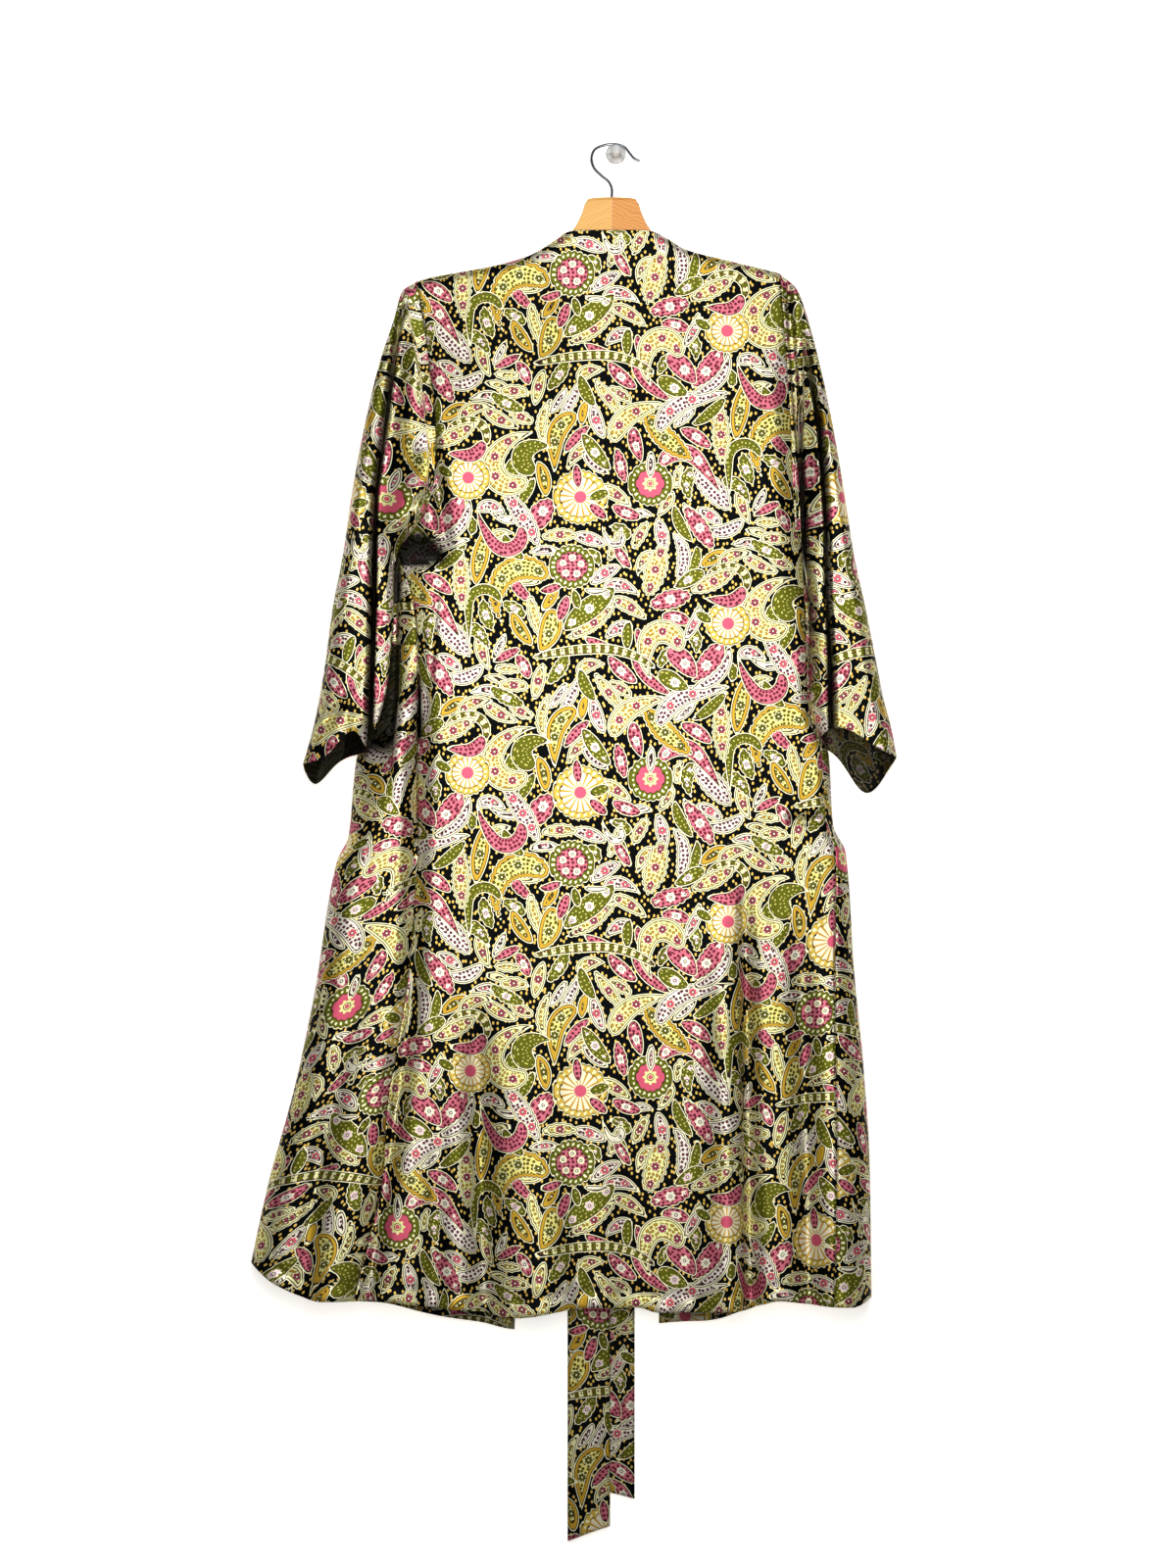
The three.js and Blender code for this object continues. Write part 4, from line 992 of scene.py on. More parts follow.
@dataclass
class Pieces:
    """The cut pieces of the gown's body and sleeves, and the rows they share."""

    body: Body = field(default_factory=Body)
    crown: tuple[float, ...] = (0, 0.002, 0.005, 0.01, 0.017, 0.026, 0.036)
    below_crown: float = 0.048
    upper_rows: int = 74
    lower_rows: int = 196
    back_columns: int = 150
    front_columns: int = 84
    neck_at: float = -97.0
    front_foot: float = -1387.0
    free_edges: ClassVar[dict[Side, Curve]] = {
        Side.LEFT: Curve([-97, -250, -600, -1387], [-68, -70, -78, -120]),
        Side.RIGHT: Curve([-97, -250, -600, -1387], [58, 52, 44, 51]),
    }

    def rows(self) -> list[Row]:
        """Divide the body into rows, closer together over the hanger.

        Returns:
            The rows, from the shoulders to the hem.
        """
        upper = np.concatenate([self.crown, np.linspace(self.below_crown, 1, self.upper_rows)])
        lower = np.arange(1, self.lower_rows + 1) / self.lower_rows
        return [Row(True, float(at)) for at in upper] + [Row(False, float(at)) for at in lower]

    def along(self, row: Row, runs: list[tuple[Layer, float, float]], share: Array) -> Array:
        """Points of a row over one run or two, so spaced as if nothing were creased.

        Args:
            row: The row.
            runs: The layer, start and end of each run.
            share: Shares of their length.

        Returns:
            A point for each share.
        """
        if row.upper and row.at == 0:
            layer, start, end = runs[-1]
            return self.body.line(row, layer, mix(start, end, share))
        points, plain = (
            np.concatenate([self.body.run(row, *run, creased)[min(k, 1):] for k, run in enumerate(runs)])
            for creased in (True, False))
        return divide(points, share, plain)

    def back(self) -> Array:
        """Grid of the back, from armhole to armhole.

        Returns:
            The grid.
        """
        rows = []
        share = np.linspace(0, 1, self.back_columns + 1)
        for row in self.rows():
            left, right = (self.body.edge(row, side) for side in Side)
            run = (Layer.OUTER, left["edge"] + left["seam"], right["edge"] - right["seam"])
            rows.append(self.along(row, [run], share))
        return np.array(rows)

    def front(self, side: Side) -> Array:
        """Grid of a front, from its armhole and side seam round the body's edge to its free edge.

        Args:
            side: Its side.

        Returns:
            The grid.
        """
        rows = []
        share = np.linspace(0, 1, self.front_columns + 1)
        body = self.body
        for row in self.rows():
            first, last = (self.neck_at, body.underarm) if row.upper else (body.underarm, self.front_foot)
            to = float(self.free_edges[side](mix(first, last, row.at)))
            value = body.edge(row, side)
            inward = np.sign(to - value["edge"])
            runs = [(Layer.INNER, value["edge"] + inward * max(value["wrap"], 0), to)]
            if row.upper and row.at == 0:
                runs = [(Layer.INNER, float(body.armhole[side]["seam"](0)), body.neck[side])]
            elif value["wrap"] < 0:
                runs.insert(0, (Layer.OUTER, value["edge"] - inward * value["wrap"], value["edge"]))
            rows.append(self.along(row, runs, share))
        return np.array(rows)

    def sleeve(self, sleeve: "Sleeve", back: Array, front: Array) -> tuple[Array, Array]:
        """Grid of a sleeve, from the armhole's loop to the cuff.

        Args:
            sleeve: The sleeve's stations and creases.
            back: Grid of the back.
            front: Grid of the front on the sleeve's side.

        Returns:
            Rings of points, first the outer half from the top inwards, then the wall-side half, with
            the sleeve's tucks and without.
        """
        at = np.array([row.at for row in self.rows() if row.upper])
        half = len(at) - 1
        column = 0 if sleeve.side is Side.LEFT else -1
        loop = np.concatenate([back[:half + 1, column], front[1:half, 0][::-1]])
        return sleeve.rings(loop, half, np.concatenate([at, at[1:-1][::-1]]))


@dataclass
class Sleeve:
    """A sleeve by its stations: outer and inner point of a section, and its depths."""

    side: Side
    stations: list[tuple]
    near: list[Hollow]
    tucks: list[Crease]
    lag: Triple                  # how far the wall side of the cuff stays back, where and how widely
    rise: Triple                 # the same of the near side, which is drawn the other way
    laps: float                  # how far the wall side's top laps over, instead of rolling round
    # how far the wrong side inside the sleeve is darkened, by its duller colour and painted shade
    inside: float
    rows: int = 132
    cuff_from: float = 5.0       # station from which the cuff's slant comes in
    slant_power: float = 1.6
    settles: float = 5.0         # stations over which the armhole's form gives way to the sleeve's
    roll: float = 0.2            # share of a section that rolls round at each edge
    lap: float = 0.45            # share of it that a lap takes
    lap_from: float = 2.0        # station from which a lap begins
    lap_over: float = 4.0        # stations over which it does
    tucks_over: float = 0.5
    least_room: float = 4.0      # between the two sides, at the foot of a tuck

    def rings(self, loop: Array, half: int, share: Array) -> tuple[Array, Array]:
        """Rings of the sleeve.

        Args:
            loop: The armhole, down its outer half and up its wall-side half.
            half: Place of the underarm in the loop.
            share: How far down the armhole each point of the loop is.

        Returns:
            One ring of points for each row, with the sleeve's tucks and without.
        """
        start = loop[0]
        end = loop[half]
        first = (start[0], start[2], end[0], end[2], *self.stations[0][4:])
        table = [(k - 1, *row) for k, row in enumerate([first, *self.stations])]
        value = curves(table, "out_x out_z in_x in_z near far turn")
        chord = np.array([end[0] - start[0], 0.0, end[2] - start[2]])
        across = np.array([-chord[2], 0.0, chord[0]]) / np.linalg.norm(chord)
        own = loop - start
        own_share = own @ chord / (chord @ chord)
        own_off = own @ across
        is_far = np.arange(len(loop)) > half
        last = len(self.stations) - 1
        rings = []
        plain = []
        for q in np.linspace(-1, last, self.rows + 1):
            settle = float(ease((q + 1) / self.settles))
            to_cuff = float(np.clip((q - self.cuff_from) / (last - self.cuff_from), 0, 1)) ** self.slant_power
            at = {name: float(curve(q)) for name, curve in value.items()}
            c = mix(own_share, share, settle)
            off = own_off * (1 - settle)
            x = mix(at["out_x"], at["in_x"], c) + across[0] * off
            z = mix(at["out_z"], at["in_z"], c) + across[2] * off
            rolled = quarter_round((1 - c) / self.roll)
            lapping = self.laps * float(ease((q - self.lap_from) / self.lap_over))
            lapped = mix(rolled, ease((1 - c) / self.lap), lapping)
            rounded = quarter_round(c / self.roll) * np.where(is_far, lapped, rolled)
            turn = mix((at["near"] + at["far"]) / 2, at["turn"], c)
            crest = np.where(is_far, at["far"], at["near"] + relief(self.near, x, z))
            y = mix(loop[:, 1], mix(turn, crest, rounded), settle)
            tuck = relief(self.tucks, x, z) * rounded * float(ease((q + 1) / self.tucks_over))
            tucked = np.where(is_far, y, np.minimum(y + tuck, at["far"] - self.least_room))
            shift = np.where(is_far, -self.bump(c, rounded, self.lag), self.bump(c, rounded, self.rise))
            rings.append(np.stack([x, tucked, z + shift * to_cuff], axis=1))
            plain.append(np.stack([x, y, z + shift * to_cuff], axis=1))
        return np.array(rings), np.array(plain)

    @staticmethod
    def bump(c: Array, rounded: Array, rise: Triple) -> Array:
        """How far the cuff is drawn along the sleeve, from its amount, where it is most and its spread."""
        amount, middle, spread = rise
        return amount * np.exp(-((c - middle) / spread) ** 2) * rounded

    def flat(self, rings: Array) -> Array:
        """Unroll the sleeve: round it, and along its middle line.

        Args:
            rings: The sleeve's rings.

        Returns:
            Flat places, with one column more than the rings have.
        """
        near = rings[:, :rings.shape[1] // 2]
        taken = sum(tuck.swallowed(near[..., 0], near[..., 2]) for tuck in self.tucks) * -self.side.value
        taken = np.pad(taken, ((0, 0), (0, rings.shape[1] + 1 - near.shape[1])), mode="edge")
        axis = rings[-1].mean(axis=0) - rings[0].mean(axis=0)
        axis = np.array([axis[0], 0, axis[2]]) / math.hypot(axis[0], axis[2])
        across = np.array([-axis[2], 0, axis[0]]) * -self.side.value
        closed = np.concatenate([rings, rings[:, :1]], axis=1)
        step = np.diff(closed, axis=1)
        width = np.zeros(closed.shape[:2])
        width[:, 1:] = np.cumsum(np.hypot(step @ across, step[..., 1]), axis=1)
        lateral = (closed - closed[:, :1]) @ across
        width = lateral + evened(width - lateral, 16) + taken - taken[:, :1]
        start = (rings[:, 0] - rings[0, 0]) @ across
        return np.stack([width + start[:, None], -(closed - rings[0, 0]) @ axis], axis=-1)


# ---- the tie ---------------------------------------------------------------------------------
@dataclass
class Tie:
    """The sash: sewn into the side seams, tied between the fronts' edges, its ends hanging."""

    thickness: float = 2.0
    width: float = 50.0
    stand_off: float = 2.05
    first_row: float = 0.072     # where a band crosses the front, as shares of the skirt's rows
    last_row: float = 0.128
    knot: Triple = (-18.0, -13.0, -566.0)
    knot_half: Triple = (22.0, 9.0, 27.0)
    gap: float = 0.3             # between the knot and what enters it
    knot_square: float = 0.55
    knot_cuts: int = 23
    pinch: float = 0.64          # how far a band narrows at the knot
    end_pinch: float = 0.32      # and a hanging end below it
    gather_columns: int = 18
    end_rows: int = 241
    end_columns: int = 13

    def band(self, pieces: Pieces, front: Array, side: Side) -> Array:
        """Grid of a tie from its side seam along the front to the knot.

        Args:
            pieces: The pieces, whose rows the band follows.
            front: Grid of the front that it lies on.
            side: Its side.

        Returns:
            The grid.
        """
        base = sum(row.upper for row in pieces.rows()) - 1
        first = base + round(self.first_row * pieces.lower_rows)
        last = base + round(self.last_row * pieces.lower_rows)
        on_front = (front + grid_normals(front, side.value) * self.stand_off)[first:last + 1]
        count = len(on_front)
        rank = np.linspace(0.5, -0.5, count)
        t = np.arange(1, self.gather_columns + 1) / self.gather_columns
        end = np.stack([np.full(count, self.knot[0] + side.value * (self.knot_half[0] + self.gap)),
                        self.knot[1] + 1 + 2.2 * np.cos(rank * 9),
                        self.knot[2] + rank * self.width * self.pinch], axis=1)
        gather = mix(on_front[:, -1][:, None], end[:, None], t[None, :, None])
        return np.concatenate([on_front, gather], axis=1)

    def end(self, top_x: float, foot_x: float, y: float, foot: float, slant: float, sway: float) -> Array:
        """Grid of a hanging end: narrow under the knot, its foot cut aslant.

        Args:
            top_x: Where it leaves the knot.
            foot_x: Where it hangs.
            y: Its depth.
            foot: Height of the middle of its foot.
            slant: How far one corner of its foot is below the middle, and the other above.
            sway: How far it sways from its depth.

        Returns:
            The grid.
        """
        t = np.linspace(0, 1, self.end_rows)[:, None]
        share = np.linspace(-0.5, 0.5, self.end_columns)[None]
        width = mix(self.end_pinch, 1.0, ease(t * 9)) * self.width
        middle = mix(top_x, foot_x, ease(t * 5))
        top = self.knot[2] - self.knot_half[2] - self.gap
        gather = (1 - ease(t * 7)) * 1.6 * np.cos(share * 19)
        depth = y + sway * np.sin(4.2 * t + share) * ease(t * 4) * 0.6 + 1.2 * np.cos(share * 5) + gather
        return np.stack([middle + share * width, depth, mix(top, foot + share * 2 * slant, t)], axis=-1)

    def knotted(self) -> bpy.types.Object:
        """The knot, from a block of many facets drawn round and creased where the tie wraps it.

        Returns:
            The knot.
        """
        bpy.ops.object.select_all(action="DESELECT")
        bpy.ops.mesh.primitive_cube_add(size=2.0)
        knot = bpy.context.active_object
        knot.name = "sash_knot"
        bpy.ops.object.mode_set(mode="EDIT")
        bpy.ops.mesh.subdivide(number_cuts=self.knot_cuts)
        bpy.ops.object.mode_set(mode="OBJECT")
        mesh = knot.data
        mesh.name = knot.name
        for name in [layer.name for layer in mesh.uv_layers]:
            mesh.uv_layers.remove(mesh.uv_layers[name])
        ball = np.zeros((len(mesh.vertices), 3))
        mesh.vertices.foreach_get("co", ball.ravel())
        ball = ball / np.linalg.norm(ball, axis=1, keepdims=True)
        form = np.sign(ball) * np.abs(ball) ** self.knot_square
        wraps = np.cos((ball[:, 2] * 0.8 + ball[:, 0] * 0.35) * 9.5)
        pull = 1 - 0.09 * np.clip(wraps, 0, 1) ** 2 - 0.05 * np.exp(-(ball[:, 0] * 3) ** 2)
        shaped = np.array(self.knot) + form * np.array(self.knot_half) * pull[:, None]
        mesh.vertices.foreach_set("co", (shaped * MM).ravel())
        loops = np.zeros(len(mesh.loops), np.int32)
        mesh.loops.foreach_get("vertex_index", loops)
        flat = np.stack([shaped[:, 0] * 1.4 + shaped[:, 1], shaped[:, 2] * 1.2 + shaped[:, 1]], axis=1)
        lay_print(mesh, flat[loops].reshape(-1, 4, 2))
        mesh.polygons.foreach_set("use_smooth", np.ones(len(mesh.polygons), bool))
        return knot


# ---- finishes --------------------------------------------------------------------------------
def tint(red: float, green: float, blue: float) -> Colour:
    """A colour from its usual 0 to 255 values."""
    shares = (value / 255 for value in (red, green, blue))
    return *(v / 12.92 if v <= 0.04045 else ((v + 0.055) / 1.055) ** 2.4 for v in shares), 1.0


class Tree:
    """Short ways to place nodes in a material or a node group."""

    def __init__(self, tree: bpy.types.NodeTree) -> None:
        """Work on a node tree."""
        self.tree = tree

    def put(self, socket: Socket, value: Value) -> None:
        """Link a socket to another, or set its value, or with none leave it alone."""
        if isinstance(value, Socket):
            self.tree.links.new(value, socket)
        elif value is not None:
            socket.default_value = value

    def node(self, kind: str, *first: Value, at: dict[str | int, Value] | None = None,
             **settings: str | bool) -> bpy.types.Node:
        """Add a node.

        Args:
            kind: Its kind.
            first: What goes into its first inputs.
            at: What goes into others, by their name or number.
            settings: Its settings by name.

        Returns:
            The node.
        """
        node = self.tree.nodes.new(f"ShaderNode{kind}")
        for name, value in settings.items():
            setattr(node, name, value)
        for key, value in [*enumerate(first), *(at or {}).items()]:
            self.put(node.inputs[key], value)
        return node

    def math(self, operation: str, *values: Value, clamp: bool = False) -> Socket:
        """A math node's result."""
        return self.node("Math", *values, operation=operation, use_clamp=clamp).outputs[0]

    def times(self, a: Value, b: Value) -> Socket:
        """The product of two values."""
        return self.math("MULTIPLY", a, b)

    def less(self, a: Value, b: Value) -> Socket:
        """1 where a is less than b."""
        return self.math("LESS_THAN", a, b)

    def more(self, a: Value, b: Value) -> Socket:
        """1 where a is more than b."""
        return self.math("GREATER_THAN", a, b)

    def between(self, value: Value, low: float, high: float) -> Socket:
        """1 where a value lies between two others."""
        return self.times(self.more(value, low), self.less(value, high))

    def wave(self, value: Value, rate: float, kind: str = "SINE") -> Socket:
        """A sine or cosine that runs at a rate."""
        return self.math(kind, self.times(value, rate))

    def away(self, a: Value, b: Value) -> Socket:
        """How far a place lies from the middle, from its two parts."""
        return self.math("SQRT", self.math("ADD", self.times(a, a), self.times(b, b)))

    def split(self, vector: Socket) -> list[Socket]:
        """The three parts of a vector."""
        return list(self.node("SeparateXYZ", vector).outputs)

    def join(self, x: Value, y: Value, z: Value = 0.0) -> Socket:
        """A vector from its three parts."""
        return self.node("CombineXYZ", x, y, z).outputs[0]

    def blend(self, share: Value, a: Value, b: Value) -> Socket:
        """Two colours mixed."""
        return self.node("Mix", share, at={6: a, 7: b}, data_type="RGBA").outputs[2]

    def choose(self, share: Value, a: Value, b: Value) -> Socket:
        """Two vectors mixed."""
        return self.node("Mix", share, at={4: a, 5: b}, data_type="VECTOR").outputs[1]

    def steps(self, share: Value, colours: list[Colour]) -> Socket:
        """Choose from a row of colours, each over an equal part of 0 to 1.

        Args:
            share: Place along the row.
            colours: The row.

        Returns:
            The colour.
        """
        node = self.node("ValToRGB", share)
        node.color_ramp.interpolation = "CONSTANT"
        ramp = node.color_ramp.elements
        while len(ramp) < len(colours):
            ramp.new(0.5)
        for k, colour in enumerate(colours):
            ramp[k].position = k / len(colours)
            ramp[k].color = colour
        return node.outputs[0]

    def turned(self, place: Socket, rotation: Triple = (0, 0, 0), scale: Triple = (1, 1, 1)) -> Socket:
        """Places turned and scaled."""
        return self.node("Mapping", place, at={"Rotation": rotation, "Scale": scale}).outputs[0]

    def noise(self, place: Socket, scale: Value, detail: float, roughness: float = 0.5) -> Socket:
        """A noise texture's value."""
        return self.node("TexNoise", at={"Vector": place, "Scale": scale, "Detail": detail,
                                         "Roughness": roughness}).outputs["Fac"]

    def cells(self, place: Socket, scale: float, randomness: float) -> Socket:
        """How far places lie from the middle of their cell."""
        return self.node("TexVoronoi", at={"Vector": place, "Scale": scale, "Randomness": randomness},
                         voronoi_dimensions="2D").outputs["Distance"]

    def attribute(self, name: str, output: str = "Fac") -> Socket:
        """A layer of the mesh."""
        return self.node("Attribute", attribute_name=name).outputs[output]

    def group(self, tree: bpy.types.NodeTree, **values: Value) -> bpy.types.Node:
        """Place a node group.

        Args:
            tree: The group.
            values: Its inputs by name.

        Returns:
            The group's node.
        """
        node = self.node("Group")
        node.node_tree = tree
        for name, value in values.items():
            self.put(node.inputs[name.replace("_", " ")], value)
        return node


def node_group(name: str, inputs: dict[str, str], outputs: dict[str, str]) -> tuple:
    """Start a node group.

    Args:
        name: The group's name.
        inputs: Kind of each input by name.
        outputs: Kind of each output by name.

    Returns:
        The group, short ways for it, its inputs and its output node.
    """
    group = bpy.data.node_groups.new(name, "ShaderNodeTree")
    for way, sockets in (("INPUT", inputs), ("OUTPUT", outputs)):
        for label, kind in sockets.items():
            group.interface.new_socket(name=label, in_out=way, socket_type=f"NodeSocket{kind}")
    enter = group.nodes.new("NodeGroupInput")
    leave = group.nodes.new("NodeGroupOutput")
    return group, Tree(group), enter.outputs, leave.inputs


class Finish:
    """A material with its shader, and short ways to set it."""

    def __init__(self, name: str) -> None:
        """Start the material.

        Args:
            name: Its name.
        """
        self.material = bpy.data.materials.new(name)
        self.material.use_nodes = True
        self.nodes = self.material.node_tree.nodes
        self.tree = Tree(self.material.node_tree)
        self.shader = self.nodes["Principled BSDF"]

    def set(self, **values: Value) -> None:
        """Set the shader's inputs by name."""
        for name, value in values.items():
            self.tree.put(self.shader.inputs[name.replace("_", " ")], value)

    def bump(self, height: Socket, strength: float, distance: float) -> None:
        """Raise the surface by a height, to a strength and a greatest distance."""
        self.set(Normal=self.tree.node("Bump", at={
            "Strength": strength, "Distance": distance, "Height": height}).outputs[0])


@dataclass(frozen=True)
class Ink:
    """Colours of the motifs of one dye, and the width of the border inside their edge."""

    fill: Colour
    dots: Colour
    band: Colour
    floret: Colour
    border: float = 0.0


GROUND = tint(6, 9, 11)
GOLD = tint(220, 190, 106)
LINE = tint(236, 233, 200)
DARK = tint(66, 44, 42)
# colour of the wrong side inside the gown: its own duller colour and painted shade together
INSIDE_DULL_AND_SHADED = tint(20, 18, 14)
# painted shade at the foot of deep folds
PAINTED_FOLD_SHADE = tint(10, 9, 8)
INKS: dict[Dye, Ink] = {
    CREAM: Ink(tint(230, 229, 166), tint(194, 154, 58), tint(230, 227, 180), tint(154, 74, 94), 2.2),
    WHITE: Ink(tint(230, 224, 214), tint(116, 62, 74), tint(230, 225, 206), tint(208, 104, 126), 2.0),
    OLIVE: Ink(tint(108, 112, 30), tint(190, 188, 100), tint(108, 112, 30), tint(228, 204, 210)),
    PINK: Ink(tint(206, 124, 138), tint(130, 44, 66), tint(206, 124, 138), tint(232, 226, 214)),
    MUSTARD: Ink(tint(228, 220, 140), tint(112, 104, 30), tint(200, 166, 64), tint(104, 104, 28), 3.4),
    CHECK: Ink(tint(228, 226, 178), tint(114, 46, 66), tint(108, 112, 30), tint(126, 60, 86)),
    DOME: Ink(tint(206, 124, 138), tint(124, 44, 66), tint(110, 114, 32), tint(232, 226, 214), 7.5),
    FAN: Ink(tint(232, 226, 200), tint(200, 160, 66), tint(206, 180, 86), tint(208, 104, 126), 7.0),
    ROSETTE: Ink(tint(230, 226, 166), tint(200, 160, 66), tint(110, 114, 32), tint(208, 104, 126), 8.0),
}


@dataclass
class Filling:
    """What a motif shows inside: line, border, dots, florets, rays, rings and checks."""

    tree: Tree
    place: Socket
    dye: Socket
    dot: float = 0.25            # sizes of a dot, its dark ring and a check's dot, in cells
    ring: float = 0.34
    check_dot: float = 0.22
    stripes: float = 0.6         # how closely a check's stripes follow one another
    rays: float = 17.0
    eye: float = 7.0
    petals: float = 8.0
    petal: Pair = (1.2, 8.0)     # depth of a rosette's petals, and how far they reach
    heart: float = 2.6
    dome_ring: float = 11.0      # radius on which the dome's flowers lie
    dome_flowers: int = 5
    floret_petals: float = 7.0
    floret_petal: Pair = (0.7, 4.6)
    halo: float = 1.0            # light line round a floret
    floret_edge: float = 3.4     # least distance of a floret from the motif's edge
    wide: float = 5.0            # width of a border that shows beads
    beads: float = 22.0
    rim: float = 0.35
    dark_line: float = 0.8       # width of the dark line just inside a motif's edge
    outline: float = 0.7         # where its border begins

    def __post_init__(self) -> None:
        """Find the parts of the place and the inks of the dye."""
        tree = self.tree
        self.along, self.across, self.edge = tree.split(self.place)
        self.kind, _, self.spacing = tree.split(self.dye)
        share = tree.math("MULTIPLY_ADD", self.kind, 1 / len(Dye), 0.5 / len(Dye))
        inks = [INKS[dye] for dye in Dye]
        self.fill = self.colour = tree.steps(share, [ink.fill for ink in inks])
        self.dots = tree.steps(share, [ink.dots for ink in inks])
        self.band = tree.steps(share, [ink.band for ink in inks])
        self.floret = tree.steps(share, [ink.floret for ink in inks])
        self.border = tree.times(tree.steps(share, [(*[ink.border / 10] * 3, 1) for ink in inks]), 10.0)
        self.spot = tree.cells(tree.join(self.along, self.across), scale=0.2, randomness=0.35)
        self.radius = tree.away(self.along, self.across)
        self.angle = tree.math("ARCTAN2", self.across, self.along)

    def draw(self, shows: Value, ink: Value) -> None:
        """Draw over the filling so far, where a mask shows."""
        self.colour = self.tree.blend(shows, self.colour, ink)

    def draw_on(self, dye: Dye, ink: Value) -> None:
        """Draw over the motifs of a dye."""
        self.draw(self.tree.between(self.kind, dye.value - 0.5, dye.value + 0.5), ink)

    def dotted(self) -> None:
        """The dots of a plain filling, and the stripes of a scroll of checks."""
        tree = self.tree
        self.draw(tree.less(self.spot, self.ring), DARK)
        self.draw(tree.less(self.spot, self.dot), self.dots)
        check = tree.blend(tree.more(tree.wave(self.along, self.stripes), 0.0), self.band, self.fill)
        self.draw_on(Dye.CHECK, tree.blend(tree.less(self.spot, self.check_dot), check, self.dots))

    def flower_heads(self) -> None:
        """The rays of a fan and the rings of a rosette, round the motif's own middle."""
        tree = self.tree
        ray = tree.more(tree.wave(self.angle, self.rays), 0.55)
        fan = tree.blend(tree.times(ray, tree.more(self.radius, self.eye)), self.fill, self.dots)
        self.draw_on(Dye.FAN, tree.blend(tree.less(self.radius, self.eye), fan, self.floret))
        petal = tree.math("MULTIPLY_ADD", tree.wave(self.angle, self.petals, "COSINE"), *self.petal)
        rose = tree.blend(tree.less(self.radius, petal), self.floret, self.fill)
        rose = tree.blend(tree.less(self.radius, self.heart), rose, self.floret)
        ring = tree.between(self.radius, self.heart + 1.0, self.heart + 1.8)
        self.draw_on(Dye.ROSETTE, tree.blend(ring, rose, DARK))

    def domed(self) -> None:
        """Small flowers in a ring on a dome."""
        tree = self.tree
        step = math.tau / self.dome_flowers
        turned = tree.math("FRACT", tree.math("MULTIPLY_ADD", self.angle, 1 / step, 0.3))
        aside = tree.times(tree.math("SUBTRACT", turned, 0.5), step * self.dome_ring)
        near = tree.away(aside, tree.math("SUBTRACT", self.radius, self.dome_ring))
        dome = self.colour
        for size, ink in ((4.3, LINE), (1.9, DARK), (1.2, self.floret)):
            dome = tree.blend(tree.less(near, size), dome, ink)
        self.draw_on(Dye.DOME, dome)

    def threaded(self) -> None:
        """Florets along the middle line."""
        tree = self.tree
        beat = tree.math("MAXIMUM", self.spacing, 1.0)
        nearest = tree.times(beat, tree.math("ROUND", tree.math("DIVIDE", self.along, beat)))
        aside = tree.math("SUBTRACT", self.along, nearest)
        reach = tree.away(aside, self.across)
        petals = tree.wave(tree.math("ARCTAN2", self.across, aside), self.floret_petals, "COSINE")
        size = tree.math("MULTIPLY_ADD", petals, *self.floret_petal)
        has = tree.times(tree.more(self.spacing, 2.0), tree.less(self.edge, -self.floret_edge))
        for shows, ink in ((tree.less(reach, tree.math("ADD", size, self.halo)), LINE),
                           (tree.less(reach, size), self.floret),
                           (tree.between(reach, 1.2, 2.0), DARK), (tree.less(reach, 1.2), LINE)):
            self.draw(tree.times(has, shows), ink)

    def bordered(self) -> None:
        """The border, with a row of beads on the wide ones, and the line round the motif."""
        tree = self.tree
        inner = tree.math("SUBTRACT", -self.outline, self.border)
        has = tree.more(self.border, 0.1)
        beads = tree.more(tree.wave(self.angle, self.beads), 0.1)
        middle = tree.math("MULTIPLY_ADD", self.border, -0.5, -self.outline)
        bead = tree.times(tree.more(self.border, self.wide),
                          tree.times(beads, tree.math("COMPARE", self.edge, middle, 1.6)))
        self.draw(tree.times(has, tree.more(self.edge, inner)), tree.blend(bead, self.band, LINE))
        self.draw(tree.times(has, tree.math("COMPARE", self.edge, inner, self.rim)), DARK)
        self.draw(tree.more(self.edge, -self.dark_line), DARK)
        self.draw(tree.more(self.edge, 0.0), LINE)


